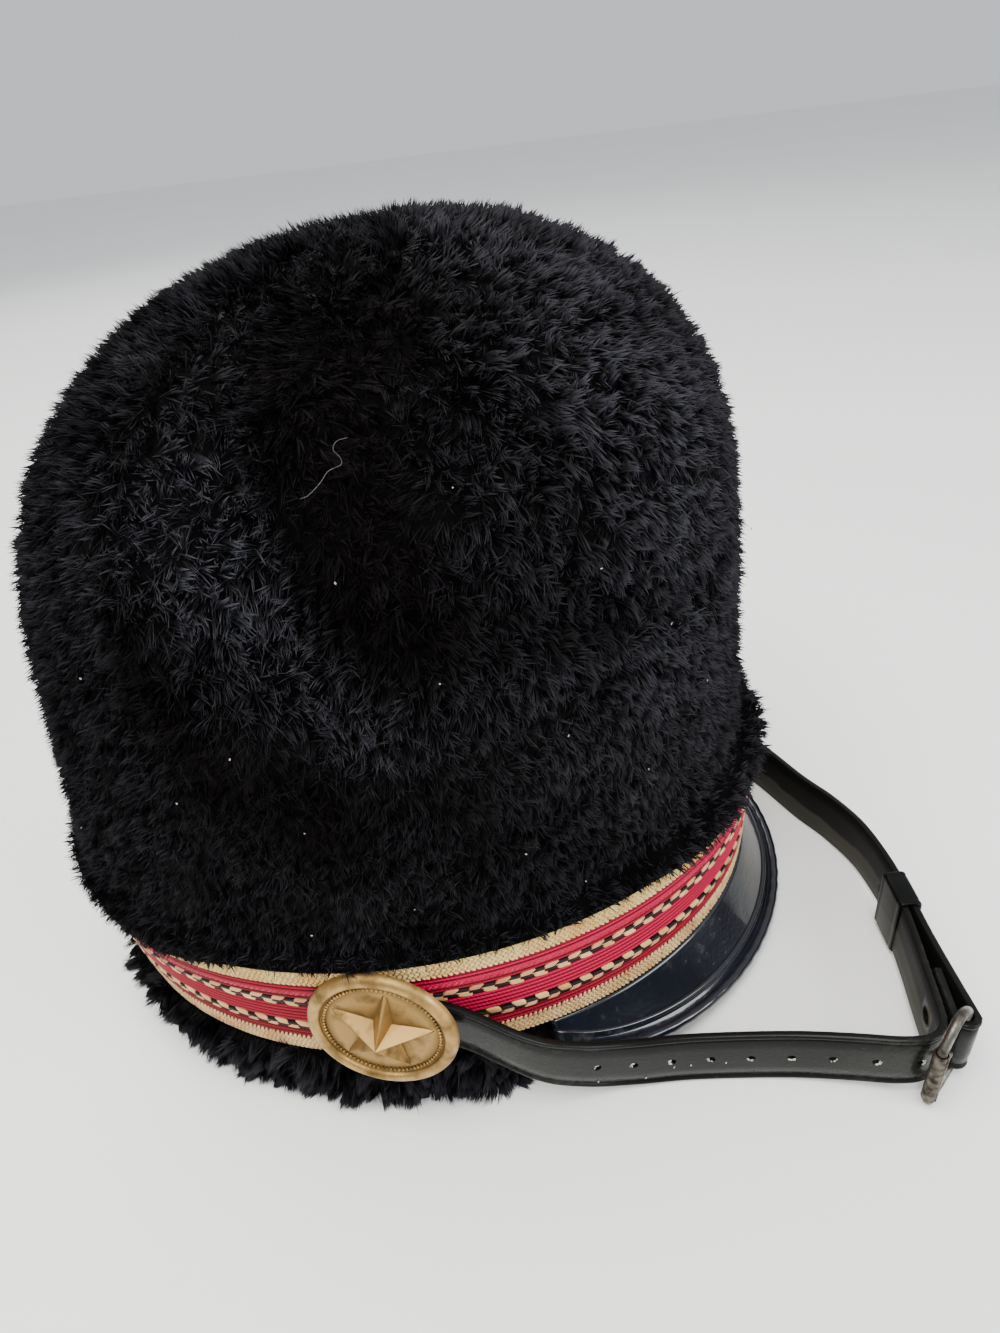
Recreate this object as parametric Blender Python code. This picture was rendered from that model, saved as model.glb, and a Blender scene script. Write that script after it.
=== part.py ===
"""Plush shako hat with a patent peak, a braided band, star buttons and a buckled chin strap.

Metres, +Z up. The hat stands on the plane z = 0 and its front looks along -Y.
Angles round the hat start at the front and grow towards the wearer's right, which is -X.
"""

import math
from collections import namedtuple

import bmesh
import bpy
from mathutils import Vector

GAP = 0.0003

# Band and head hollow
BAND_HALF_LENGTH = 0.108
BAND_HALF_WIDTH = 0.088
BAND_LOW = 0.020
BAND_FLARE = 0.10
LOWER_BRAID = 0.0058
RIBBON = 0.0292
UPPER_BRAID = 0.0068
BRAID_THICKNESS = 0.0017
RIBBON_THICKNESS = 0.0013
WALL = 0.003
HAT_LEAN = math.radians(2.0)

# Plush crown
CROWN_HEIGHT = 0.2185
SHOULDER_HEIGHT = 0.115
DOME_FULLNESS = 3.6
LENGTH_TAPER = -0.137
WIDTH_SPREAD = 0.11
FORWARD_SLOPE = 0.128
SET_BACK = 0.0025
FUR_PAST_BAND_ENDS = -0.0022
FUR_PAST_BAND_SIDES = 0.0005
PILE = 0.0045
PILE_ROOT = 0.0035
LOCK_ROWS = 15
LOCKS_ROUND = 36
LOCK_LENGTH = 0.9
CLEFT_RISE = 0.3
CLEFT_DEPTH = 0.55
FOLD_FADE = 0.029

# Fur below the band
HEM_BULGE = 0.0035
HEM_SPLAY = 0.0055
HEM_CLEARANCE = 1.2
HEM_TUFTS = 28
HEM_CLEFT_SPLAY = 0.35
HEM_END_STEPS = 4
HEM_TOP_SWELL = 0.3
HEM_WAIST = 0.55
HEM_FOOT = 0.12
HEM_TUCK = 0.8

# Peak
PEAK_HALF_ANGLE = 70.0
PEAK_REACH = 0.0092
PEAK_SIDE_REACH = 0.0004
PEAK_THICKNESS = 0.002
PEAK_RIM_HEIGHT = 0.0045
PEAK_END_RISE = 0.0105
PEAK_CURL = 0.25
PEAK_ROWS = 4
PEAK_STEPS = 34
BINDING_RADIUS = 0.0017

# Star buttons
BUTTON_RADIUS = 0.0203
BUTTON_ANGLE = 92.4
BUTTON_HEIGHT = 0.0415
BUTTON_TILT = 0.02
BUTTON_THICKNESS = 0.0022
BUTTON_RIM = 0.0042
BUTTON_FIELD = 0.45
BUTTON_EDGE = 0.94
BUTTON_BACK = 0.25
RIM_SLOPE = 0.2
STAR_PEAK = 0.03
STAR_RADIUS = 0.0150
STAR_NOTCH = 0.0052
STAR_RISE = 0.0062

# Chin strap
STRAP_WIDTH = 0.020
STRAP_THICKNESS = 0.002
STRAP_STEP = 0.0055
HOLE_RADIUS = 0.0012
HOLE_PITCH = 0.0109
HOLE_COUNT = 9
FIRST_HOLE = 0.062

# Buckle and keeper
WIRE_RADIUS = 0.0013
ROLLER_RADIUS = 0.0026
BUCKLE_OVER_STRAP = 0.0017
BUCKLE_TOP_ARCH = 0.0030
BUCKLE_FOOT_ARCH = 0.0006
KEEPER_WIDTH = 0.013
KEEPER_THICKNESS = 0.0014

Fold = namedtuple("Fold", "angle height angle_spread height_spread depth")
Stop = namedtuple("Stop", "forward left height")

# Heights are shares of the crown's height and depths are shares of its wall with the pile.
FOLDS = [
    Fold(108, 0.90, 8, 0.060, 0.55),
    Fold(102, 0.83, 8, 0.060, 0.75),
    Fold(97, 0.75, 8, 0.060, 0.70),
    Fold(91, 0.66, 8, 0.060, 0.50),
    Fold(122, 0.86, 9, 0.080, -0.40),
    Fold(112, 0.75, 8, 0.080, -0.40),
    Fold(102, 0.65, 9, 0.070, -0.30),
    Fold(80, 0.85, 13, 0.100, 0.55),
    Fold(60, 0.69, 12, 0.030, 0.35),
    Fold(42, 0.64, 12, 0.030, 0.30),
    Fold(-75, 0.72, 20, 0.120, 0.25),
    Fold(-150, 0.62, 22, 0.150, 0.15),
]

# Turn past the button, drop as a share of the strap's width, lift as a share of its reach.
STRAP_STARTS = [
    (5.0, 0.0, 0.0),
    (-2.0, 0.0, 0.0),
    (-9.0, 0.2, 0.6),
]

# The strap's route on the surface, one row for each point chosen by hand: forward as a share of
# the band's half length, left of its half width, and height of the strap's width.
NEAR_ROUTE = [
    Stop(0.2870, -1.0852, 1.225),
    Stop(0.4074, -1.0625, 0.825),
    Stop(0.5370, -1.0364, 0.600),
    Stop(0.7037, -1.0227, 0.520),
    Stop(0.9259, -1.0398, 0.540),
    Stop(1.0741, -1.0739, 0.625),
    Stop(1.1852, -1.1045, 0.690),
    Stop(1.2546, -1.1023, 0.700),
    Stop(1.2917, -1.0591, 0.700),
    Stop(1.3037, -0.9886, 0.700),
    Stop(1.3167, -0.8750, 0.690),
    Stop(1.3352, -0.7273, 0.660),
    Stop(1.3500, -0.5682, 0.630),
    Stop(1.3519, -0.4318, 0.605),
]
FAR_ROUTE = [
    Stop(0.3148, 1.1193, 1.075),
    Stop(0.5278, 1.0739, 0.650),
    Stop(0.7407, 0.9545, 0.530),
    Stop(0.9259, 0.7727, 0.510),
    Stop(1.0370, 0.6023, 0.510),
    Stop(1.1065, 0.4545, 0.510),
    Stop(1.1759, 0.2898, 0.510),
    Stop(1.2454, 0.1080, 0.510),
    Stop(1.3102, -0.0341, 0.520),
    Stop(1.3565, -0.1932, 0.550),
    Stop(1.3741, -0.3864, 0.600),
    Stop(1.3759, -0.5682, 0.630),
    Stop(1.3722, -0.7386, 0.660),
    Stop(1.3731, -0.9091, 0.690),
]
BAR = Stop(1.3528, -1.0455, 0.700)
ROLLER = Stop(1.2519, -1.1614, 0.700)
FOLDED_END = Stop(1.3454, -0.8750, 0.685)
KEEPER_PLACE = Stop(1.3630, -0.5455, 0.630)

BAND_TOP = BAND_LOW + LOWER_BRAID + RIBBON + UPPER_BRAID


def clear_scene():
    for old in list(bpy.data.objects):
        bpy.data.objects.remove(old, do_unlink=True)


def material(name, colour, roughness, metallic=0.0):
    made = bpy.data.materials.new(name)
    made.use_nodes = True
    shader = made.node_tree.nodes["Principled BSDF"]
    shader.inputs["Base Color"].default_value = (*colour, 1.0)
    shader.inputs["Roughness"].default_value = roughness
    shader.inputs["Metallic"].default_value = metallic
    return made


def place(forward, left, height):
    """A point from its distances ahead of, left of and above the hat's middle."""
    return Vector((left, -forward, height))


def lean(point):
    """Tips a point of the hat back, with what stands on the surface kept flat."""
    slope = math.tan(HAT_LEAN)
    lifted = slope * -point.y * min(point.z / BAND_LOW, 1.0)
    return Vector((point.x, point.y + slope * point.z, point.z + lifted))


def route_point(stop):
    """A stop of the strap's route, whose shares grow with the band and the strap."""
    forward = stop.forward * BAND_HALF_LENGTH
    return place(forward, stop.left * BAND_HALF_WIDTH, stop.height * STRAP_WIDTH)


def nearest_stop(route, left):
    return min(route, key=lambda stop: abs(stop.left - left))


def band_point(angle, height, proud=0.0):
    """A point of the band's outer face, or of a face that stands proud of it."""
    grown = BAND_FLARE * (height - BAND_LOW) + proud
    turn = math.radians(angle)
    forward = (BAND_HALF_LENGTH + grown) * math.cos(turn)
    left = -(BAND_HALF_WIDTH + grown) * math.sin(turn)
    return place(forward, left, height)


def band_normal(angle):
    turn = math.radians(angle)
    forward = math.cos(turn) / BAND_HALF_LENGTH
    left = -math.sin(turn) / BAND_HALF_WIDTH
    return place(forward, left, 0.0).normalized()


def dome_share(height):
    """How wide the crown is at a height, as a share of its straight side."""
    rise = (height - SHOULDER_HEIGHT) / (CROWN_HEIGHT - SHOULDER_HEIGHT)
    rise = min(max(rise, 0.0), 1.0)
    return math.sqrt(max(1.0 - rise**DOME_FULLNESS, 0.0))


def crown_point(angle, height, proud=0.0):
    """A point of the crown's fur surface, or of one that lies proud or inside of it."""
    above = height - BAND_TOP
    base = BAND_FLARE * (BAND_TOP - BAND_LOW)
    half_length = BAND_HALF_LENGTH + base + FUR_PAST_BAND_ENDS + LENGTH_TAPER * above
    half_width = BAND_HALF_WIDTH + base + FUR_PAST_BAND_SIDES + WIDTH_SPREAD * above
    share = dome_share(height)
    turn = math.radians(angle)
    middle = FORWARD_SLOPE * above - SET_BACK
    forward = middle + (half_length * share + proud) * math.cos(turn)
    left = -(half_width * share + proud) * math.sin(turn)
    return place(forward, left, height + proud * (1.0 - share))


def fold_depth(angle, height):
    """How far the folds and dents draw the plush in at a place."""
    wall = WALL + PILE_ROOT + PILE
    total = 0.0
    for fold in FOLDS:
        turn = (angle - fold.angle + 180.0) % 360.0 - 180.0
        across = turn / fold.angle_spread
        along = (height / CROWN_HEIGHT - fold.height) / fold.height_spread
        total += fold.depth * wall * math.exp(-(across**2) - along**2)
    return total * min((height - BAND_TOP) / FOLD_FADE, 1.0)


def crown_heights(count):
    """Heights that split the crown's side and dome into equal steps along its surface."""
    samples = 400
    heights = []
    for i in range(samples + 1):
        turn = math.pi / 2 * i / samples
        heights.append(BAND_TOP + (CROWN_HEIGHT - BAND_TOP) * math.sin(turn))
    walked = [0.0]
    for low, high in zip(heights, heights[1:]):
        across = (dome_share(low) - dome_share(high)) * BAND_HALF_WIDTH
        walked.append(walked[-1] + math.hypot(across, high - low))
    chosen = []
    for row in range(count + 1):
        wanted = walked[-1] * row / count
        spot = max(i for i, length in enumerate(walked) if length <= wanted + 1e-9)
        chosen.append(heights[spot])
    return chosen


def loft(name, rings, finish, closed=False):
    """Joins rings of the same number of points into one closed body."""
    mesh = bpy.data.meshes.new(name)
    body = bmesh.new()
    made = [[body.verts.new(point) for point in ring] for ring in rings]
    count = len(made[0])
    pairs = list(zip(made, made[1:]))
    if closed:
        pairs.append((made[-1], made[0]))
    else:
        body.faces.new(made[0])
        body.faces.new(made[-1])
    for here, there in pairs:
        for i in range(count):
            j = (i + 1) % count
            body.faces.new((here[i], here[j], there[j], there[i]))
    bmesh.ops.triangulate(body, faces=body.faces)
    bmesh.ops.recalc_face_normals(body, faces=body.faces)
    body.to_mesh(mesh)
    body.free()
    mesh.shade_smooth()
    mesh.set_sharp_from_angle(angle=math.radians(35.0))
    made_object = bpy.data.objects.new(name, mesh)
    made_object.data.materials.append(finish)
    collection.objects.link(made_object)
    return made_object


def smooth_route(stops, step):
    """Points a step apart along a smooth curve through the stops."""
    ends = [stops[0] * 2 - stops[1], *stops, stops[-1] * 2 - stops[-2]]
    fine = []
    for a, b, c, d in zip(ends, ends[1:], ends[2:], ends[3:]):
        parts = max(3, math.ceil((c - b).length / step))
        for i in range(parts):
            t = i / parts
            curve = 2 * b + (c - a) * t + (2 * a - 5 * b + 4 * c - d) * t**2
            fine.append((curve + (3 * b - a - 3 * c + d) * t**3) / 2)
    fine.append(stops[-1])
    return fine


def strap_rings(points, tilts):
    """A flat strap on edge along a route: a rectangle of four corners at each point."""
    rings = []
    for i, point in enumerate(points):
        ahead = points[min(i + 1, len(points) - 1)] - points[max(i - 1, 0)]
        side = Vector((ahead.y, -ahead.x, 0.0)).normalized()
        up = (Vector((0.0, 0.0, 1.0)) + side * tilts[i]).normalized()
        half_up = up * STRAP_WIDTH / 2
        half_side = side * STRAP_THICKNESS / 2
        rings.append(
            [
                point - half_side - half_up,
                point + half_side - half_up,
                point + half_side + half_up,
                point - half_side + half_up,
            ]
        )
    return rings


def make_crown():
    """The plush crown: a hollow wall with its pile in rows of locks that hang down."""
    columns = 2 * LOCKS_ROUND
    angles = [360.0 * i / columns for i in range(columns)]
    behind = BRAID_THICKNESS + GAP

    def wall_ring(height, inner):
        proud = -behind - (WALL if inner else 0.0)
        return [lean(band_point(angle, height, proud)) for angle in angles]

    def fur_ring(height, proud):
        ring = []
        for angle in angles:
            depth = fold_depth(angle, height)
            ring.append(lean(crown_point(angle, height, proud - depth)))
        return ring

    def lock_ring(height, next_height, row):
        ring = []
        for i, angle in enumerate(angles):
            is_tip = (i + row) % 2 == 0
            spot = height if is_tip else height + CLEFT_RISE * (next_height - height)
            proud = 0.0 if is_tip else -CLEFT_DEPTH * PILE
            depth = fold_depth(angle, spot)
            ring.append(lean(crown_point(angle, spot, proud - depth)))
        return ring

    heights = crown_heights(LOCK_ROWS)
    backing = -(PILE + PILE_ROOT + WALL)
    rings = []
    for height in reversed(heights[1:-1:2]):
        rings.append(fur_ring(height, backing))
    rings.append(wall_ring(BAND_TOP, True))
    rings.append(wall_ring(0.0, True))
    rings.append(wall_ring(0.0, False))
    rings.append(wall_ring(BAND_TOP + GAP, False))
    foot = BAND_TOP + 2 * GAP
    for row in range(LOCK_ROWS - 1):
        low = heights[row] if row else foot
        high = heights[row + 1]
        rings.append(lock_ring(low, high, row))
        rings.append(fur_ring(low + LOCK_LENGTH * (high - low), -PILE))
    rings.append(lock_ring(heights[-2], heights[-1], 0))
    return loft("crown", rings, finishes["plush"])


def make_hem():
    """The strip of plush that shows below the band, from one end of the peak to the other."""
    rings = []
    steps = 2 * HEM_TUFTS
    start = PEAK_HALF_ANGLE + HEM_CLEARANCE
    inner = -BRAID_THICKNESS
    top = BAND_LOW - 2 * GAP
    for i in range(steps + 1):
        angle = start + (360.0 - 2 * start) * i / steps
        splay = HEM_SPLAY if i % 2 else HEM_CLEFT_SPLAY * HEM_SPLAY
        ends = min(i, steps - i, HEM_END_STEPS) / HEM_END_STEPS
        bulge = HEM_BULGE * ends
        foot = bulge + (splay - bulge) * ends
        outline = [
            (inner, 0.0),
            (inner, top),
            (GAP + bulge * HEM_TOP_SWELL, top),
            (GAP + bulge, HEM_WAIST * top),
            (GAP + foot, HEM_FOOT * top),
            (GAP + foot * HEM_TUCK, 0.0),
        ]
        ring = []
        for proud, height in outline:
            flared = proud - BAND_FLARE * (height - BAND_LOW)
            if proud == inner:
                flared = inner
            ring.append(lean(band_point(angle, height, flared)))
        rings.append(ring)
    return loft("fur_hem", rings, finishes["plush"])


def make_trim(name, low, high, thickness, finish, swell):
    """A ring of braid or ribbon round the band, fuller in its middle by the swell."""
    rings = []
    steps = 64
    inner = -BRAID_THICKNESS
    face = thickness - BRAID_THICKNESS
    for i in range(steps):
        angle = 360.0 * i / steps
        outline = [
            (inner, low + GAP / 2),
            (face, low + GAP / 2),
            (face + swell, (low + high) / 2),
            (face, high - GAP / 2),
            (inner, high - GAP / 2),
        ]
        rings.append([lean(band_point(angle, height, out)) for out, height in outline])
    return loft(name, rings, finishes[finish], closed=True)


def peak_rim(angle):
    """How far the peak's rim stands out past the band at an angle."""
    side = abs(angle) / PEAK_HALF_ANGLE
    return PEAK_SIDE_REACH + (PEAK_REACH - PEAK_SIDE_REACH) * math.sqrt(max(1 - side**5, 0))


def peak_rim_height(angle):
    """The rim lies low in front and climbs to the band at its two ends."""
    return PEAK_RIM_HEIGHT + PEAK_END_RISE * (abs(angle) / PEAK_HALF_ANGLE) ** 4


def peak_points(angle, share, depth):
    """A point of the peak, from the band's lower edge at 0 to its rim at 1."""
    top = BAND_LOW - 2 * GAP
    height = top + (peak_rim_height(angle) - top) * share
    reach = peak_rim(angle) * share * (1.0 - PEAK_CURL + PEAK_CURL * share)
    flare = BAND_FLARE * (height - BAND_LOW)
    out = -BRAID_THICKNESS + PEAK_THICKNESS + reach - flare - depth
    return lean(band_point(angle, height, out))


def make_peak():
    """The patent leather peak that slopes down from under the band's front."""
    rings = []
    shares = [row / (PEAK_ROWS - 1) for row in range(PEAK_ROWS)]
    for i in range(PEAK_STEPS + 1):
        angle = PEAK_HALF_ANGLE * (2.0 * i / PEAK_STEPS - 1.0)
        outer = [peak_points(angle, share, 0.0) for share in shares]
        inner = [peak_points(angle, share, PEAK_THICKNESS) for share in reversed(shares)]
        rings.append(outer + inner)
    return loft("peak", rings, finishes["patent"])


def make_binding():
    """The rolled piping sewn along the peak's rim."""
    rings = []
    sides = 7
    for i in range(PEAK_STEPS + 1):
        angle = PEAK_HALF_ANGLE * (2.0 * i / PEAK_STEPS - 1.0)
        rim = peak_points(angle, 1.0, PEAK_THICKNESS / 2)
        out = band_normal(angle)
        middle = rim + out * (PEAK_THICKNESS / 2 + BINDING_RADIUS + GAP)
        middle.z = max(middle.z - PEAK_THICKNESS / 2, BINDING_RADIUS + GAP)
        ring = []
        for side in range(sides):
            turn = 2 * math.pi * side / sides
            up = Vector((0.0, 0.0, math.sin(turn)))
            ring.append(middle + (out * math.cos(turn) + up) * BINDING_RADIUS)
        rings.append(ring)
    return loft("peak_binding", rings, finishes["patent"])


def star_radius(turn):
    """Distance from a five-pointed star's middle to its outline."""
    sector = math.pi / 5
    inside = abs((turn + sector) % (2 * sector) - sector)
    tip = Vector((STAR_RADIUS, 0.0))
    notch = Vector((math.cos(sector), math.sin(sector))) * STAR_NOTCH
    edge = notch - tip
    ray = Vector((math.cos(inside), math.sin(inside)))
    return (tip.x * edge.y - tip.y * edge.x) / (ray.x * edge.y - ray.y * edge.x)


def make_button(name, side):
    """A pressed brass boss: rolled rim, sunk field and a faceted star."""
    sides = 30
    angle = BUTTON_ANGLE * side
    out = band_normal(angle)
    stand = STRAP_THICKNESS + 4 * GAP + STRAP_WIDTH / 2 * (BUTTON_TILT + BAND_FLARE)
    normal = (out + Vector((0.0, 0.0, BUTTON_TILT))).normalized()
    seat = lean(band_point(angle, BUTTON_HEIGHT)) + normal * stand
    across = Vector((0.0, 0.0, 1.0)).cross(normal).normalized()
    up = normal.cross(across)
    field = BUTTON_THICKNESS * BUTTON_FIELD
    rim = BUTTON_RADIUS - BUTTON_RIM
    profile = [
        (BUTTON_BACK * BUTTON_RADIUS, 0.0),
        (BUTTON_EDGE * BUTTON_RADIUS, 0.0),
        (BUTTON_RADIUS, field),
        (BUTTON_EDGE * BUTTON_RADIUS, BUTTON_THICKNESS),
        (rim + RIM_SLOPE * BUTTON_RIM, BUTTON_THICKNESS),
        (rim, field),
    ]
    rings = []
    for radius, rise in profile:
        rings.append([(radius, rise)] * sides)
    for share, rise in ((1.0, field), (STAR_PEAK, field + STAR_RISE)):
        ring = []
        for i in range(sides):
            ring.append((star_radius(2 * math.pi * i / sides) * share, rise))
        rings.append(ring)
    placed = []
    for ring in rings:
        points = []
        for i, (radius, rise) in enumerate(ring):
            turn = 2 * math.pi * i / sides
            flat = up * math.cos(turn) + across * math.sin(turn)
            points.append(seat + flat * radius + normal * rise)
        placed.append(points)
    return loft(name, placed, finishes["brass"])


def strap_start(side):
    """Where the strap lies on the band behind a button, and on its way down to the surface."""
    reach = STRAP_THICKNESS / 2 + 2 * GAP
    stops = []
    for turn, drop, lift in STRAP_STARTS:
        angle = (BUTTON_ANGLE + turn) * side
        height = BUTTON_HEIGHT - drop * STRAP_WIDTH
        stops.append(lean(band_point(angle, height)) + band_normal(angle) * (reach + lift * reach))
    return stops


def strap_tilts(points, side):
    """The strap follows the band's flare behind the button and stands upright further on."""
    start = BUTTON_HEIGHT
    end = STRAP_WIDTH / 2
    tilts = []
    for point in points:
        share = min(max((point.z - end) / (start - end), 0.0), 1.0)
        tilts.append(side * BAND_FLARE * share)
    return tilts


def make_strap_holed():
    """The strap with holes: right button, along the surface, through the buckle, to its tail."""
    stops = strap_start(1) + [route_point(stop) for stop in NEAR_ROUTE]
    points = smooth_route(stops, STRAP_STEP)
    strap = loft("strap_holed", strap_rings(points, strap_tilts(points, 1)), finishes["patent"])
    walked = 0.0
    spots = []
    for here, there in zip(points, points[1:]):
        length = (there - here).length
        wanted = FIRST_HOLE + HOLE_PITCH * len(spots)
        while len(spots) < HOLE_COUNT and walked + length >= wanted:
            share = (wanted - walked) / length
            spots.append((here.lerp(there, share), there - here))
            wanted = FIRST_HOLE + HOLE_PITCH * len(spots)
        walked += length
    cutter_mesh = bpy.data.meshes.new("strap_hole_cutter")
    cutter = bmesh.new()
    for spot, along in spots:
        side = Vector((along.y, -along.x, 0.0)).normalized()
        turned = side.to_track_quat("Z", "Y").to_matrix().to_4x4()
        turned.translation = spot
        bmesh.ops.create_cone(
            cutter,
            cap_ends=True,
            segments=8,
            radius1=HOLE_RADIUS,
            radius2=HOLE_RADIUS,
            depth=4 * STRAP_THICKNESS,
            matrix=turned,
        )
    cutter.to_mesh(cutter_mesh)
    cutter.free()
    cutter_object = bpy.data.objects.new("strap_hole_cutter", cutter_mesh)
    cutter_object.hide_render = True
    cutter_object.display_type = "WIRE"
    cutters.objects.link(cutter_object)
    cut = strap.modifiers.new("Holes", "BOOLEAN")
    cut.operation = "DIFFERENCE"
    cut.object = cutter_object
    return strap


def make_strap_plain():
    """The strap's other length: left button, round the front, folded back round the bar."""
    stops = strap_start(-1) + [route_point(stop) for stop in FAR_ROUTE]
    bar = route_point(BAR)
    wrap = WIRE_RADIUS + STRAP_THICKNESS / 2 + GAP
    bend = []
    for i in range(9):
        turn = math.pi * i / 8
        spot = Vector((-math.sin(turn), -math.cos(turn), 0.0)) * wrap
        bend.append(bar + spot)
    points = smooth_route([*stops, *bend, route_point(FOLDED_END)], STRAP_STEP)
    rings = strap_rings(points, strap_tilts(points, -1))
    return loft("strap_plain", rings, finishes["patent"])


def make_keeper():
    """The leather loop round both layers of the strap."""
    middle = route_point(KEEPER_PLACE)
    outer = nearest_stop(FAR_ROUTE, KEEPER_PLACE.left)
    inner = nearest_stop(NEAR_ROUTE, KEEPER_PLACE.left)
    layers = (outer.forward - inner.forward) * BAND_HALF_LENGTH + STRAP_THICKNESS
    half_in = layers / 2 + 2 * GAP
    half_up = STRAP_WIDTH / 2 + 3 * GAP
    rings = []
    for corner in ((1, 1), (1, -1), (-1, -1), (-1, 1)):
        ring = []
        for grown, along in ((0, -1), (1, -1), (1, 1), (0, 1)):
            out = half_in + grown * KEEPER_THICKNESS
            up = half_up + grown * KEEPER_THICKNESS
            ring.append(
                middle + Vector((along * KEEPER_WIDTH / 2, corner[0] * out, corner[1] * up))
            )
        rings.append(ring)
    return loft("keeper", rings, finishes["patent"], closed=True)


def wire(name, points, radius, finish, cyclic):
    """A round wire through points, with its caps closed."""
    path = bpy.data.curves.new(name, "CURVE")
    path.dimensions = "3D"
    path.bevel_depth = radius
    path.bevel_resolution = 2
    path.use_fill_caps = True
    line = path.splines.new("POLY")
    line.points.add(len(points) - 1)
    for spot, point in zip(line.points, points):
        spot.co = (*point, 1.0)
    line.use_cyclic_u = cyclic
    made = bpy.data.objects.new(name, path)
    made.data.materials.append(finishes[finish])
    collection.objects.link(made)
    return made


def make_buckle():
    """A steel wire frame with a roller on its outer bar, and the prong between the bars."""
    bar = route_point(BAR)
    roller = route_point(ROLLER)
    half = STRAP_WIDTH / 2 + BUCKLE_OVER_STRAP
    points = []
    for side, rise in ((1, BUCKLE_TOP_ARCH), (-1, BUCKLE_FOOT_ARCH)):
        arch = []
        for i in range(7):
            share = i / 6
            spot = bar.lerp(roller, share)
            spot.z += side * (half + rise * math.sin(math.pi * share))
            arch.append(spot)
        points.extend(arch if side == 1 else reversed(arch))
    wire("buckle_frame", points, WIRE_RADIUS, "steel", True)
    along = (roller - bar).normalized()
    start = bar + along * (WIRE_RADIUS + STRAP_THICKNESS + 3 * GAP + WIRE_RADIUS)
    end = roller - along * (ROLLER_RADIUS + 2 * GAP)
    wire("buckle_prong", [start, end], 0.7 * WIRE_RADIUS, "steel", False)
    rings = []
    sides = 12
    tall = STRAP_WIDTH / 2
    inner = WIRE_RADIUS + GAP
    for i in range(sides):
        turn = 2 * math.pi * i / sides
        out = Vector((math.cos(turn), math.sin(turn), 0.0))
        ring = []
        outline = ((inner, -tall), (ROLLER_RADIUS, -tall), (ROLLER_RADIUS, tall), (inner, tall))
        for radius, rise in outline:
            ring.append(roller + out * radius + Vector((0.0, 0.0, rise)))
        rings.append(ring)
    loft("buckle_roller", rings, finishes["steel"], closed=True)


def centre_model():
    """Puts the origin under the middle of the whole model's box, on the surface it stands on."""
    shapes = bpy.context.evaluated_depsgraph_get()
    corners = []
    for made in collection.objects:
        shape = made.evaluated_get(shapes)
        mesh = shape.to_mesh()
        corners.extend(shape.matrix_world @ vertex.co for vertex in mesh.vertices)
        shape.to_mesh_clear()
    low = [min(corner[axis] for corner in corners) for axis in range(3)]
    high = [max(corner[axis] for corner in corners) for axis in range(3)]
    middle = Vector(((low[0] + high[0]) / 2, (low[1] + high[1]) / 2, low[2]))
    for made in [*collection.objects, *cutters.objects]:
        made.location = -middle


clear_scene()
collection = bpy.data.collections.new("shako_hat")
cutters = bpy.data.collections.new("cutters")
bpy.context.scene.collection.children.link(collection)
bpy.context.scene.collection.children.link(cutters)
finishes = {
    "plush": material("plush", (0.012, 0.012, 0.014), 0.95),
    "gold": material("gold", (0.62, 0.44, 0.20), 0.55, 0.4),
    "crimson": material("crimson", (0.33, 0.012, 0.045), 0.75),
    "patent": material("patent", (0.010, 0.010, 0.012), 0.12),
    "brass": material("brass", (0.55, 0.38, 0.14), 0.38, 1.0),
    "steel": material("steel", (0.20, 0.18, 0.16), 0.45, 1.0),
}

RIBBON_LOW = BAND_LOW + LOWER_BRAID
RIBBON_HIGH = RIBBON_LOW + RIBBON

make_crown()
make_hem()
make_trim("braid_lower", BAND_LOW, RIBBON_LOW, BRAID_THICKNESS, "gold", 0.0)
make_trim("ribbon_crimson", RIBBON_LOW, RIBBON_HIGH, RIBBON_THICKNESS, "crimson", 0.0002)
make_trim("braid_upper", RIBBON_HIGH, BAND_TOP, BRAID_THICKNESS, "gold", 0.0)
make_peak()
make_binding()
make_button("button_right", 1)
make_button("button_left", -1)
make_strap_holed()
make_strap_plain()
make_keeper()
make_buckle()
centre_model()
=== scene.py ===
import math

import bmesh
import bpy
from mathutils import Matrix, Vector


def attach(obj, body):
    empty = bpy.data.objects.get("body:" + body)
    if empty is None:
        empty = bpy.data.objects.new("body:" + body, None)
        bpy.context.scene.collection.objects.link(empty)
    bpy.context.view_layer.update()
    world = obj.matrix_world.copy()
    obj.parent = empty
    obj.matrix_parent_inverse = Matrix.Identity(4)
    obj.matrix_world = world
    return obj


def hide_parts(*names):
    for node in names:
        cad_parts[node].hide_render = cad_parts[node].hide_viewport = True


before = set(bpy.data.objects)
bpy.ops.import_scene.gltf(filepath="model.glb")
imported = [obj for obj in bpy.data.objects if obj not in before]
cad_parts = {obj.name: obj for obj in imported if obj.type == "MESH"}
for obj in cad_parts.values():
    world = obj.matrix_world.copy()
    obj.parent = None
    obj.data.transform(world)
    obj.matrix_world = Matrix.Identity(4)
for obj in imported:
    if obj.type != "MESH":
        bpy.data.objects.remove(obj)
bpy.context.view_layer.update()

# The camera stands at the wearer's right, a little above the crown's middle,
# and looks down on the hat, whose front points to the picture's right.
CAMERA_PLACE = (-0.22485, -0.02331, 0.2373)
CAMERA_RIGHT = (-0.015275, -0.994566, -0.102988)
CAMERA_UP = (0.553721, -0.094178, 0.827364)
CAMERA_BACK = (-0.832567, -0.044387, 0.552150)


def stand(name, data):
    """Puts a mesh, a lamp or the camera into the scene under a name."""
    made = bpy.data.objects.new(name, data)
    bpy.context.scene.collection.objects.link(made)
    return made


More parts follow.
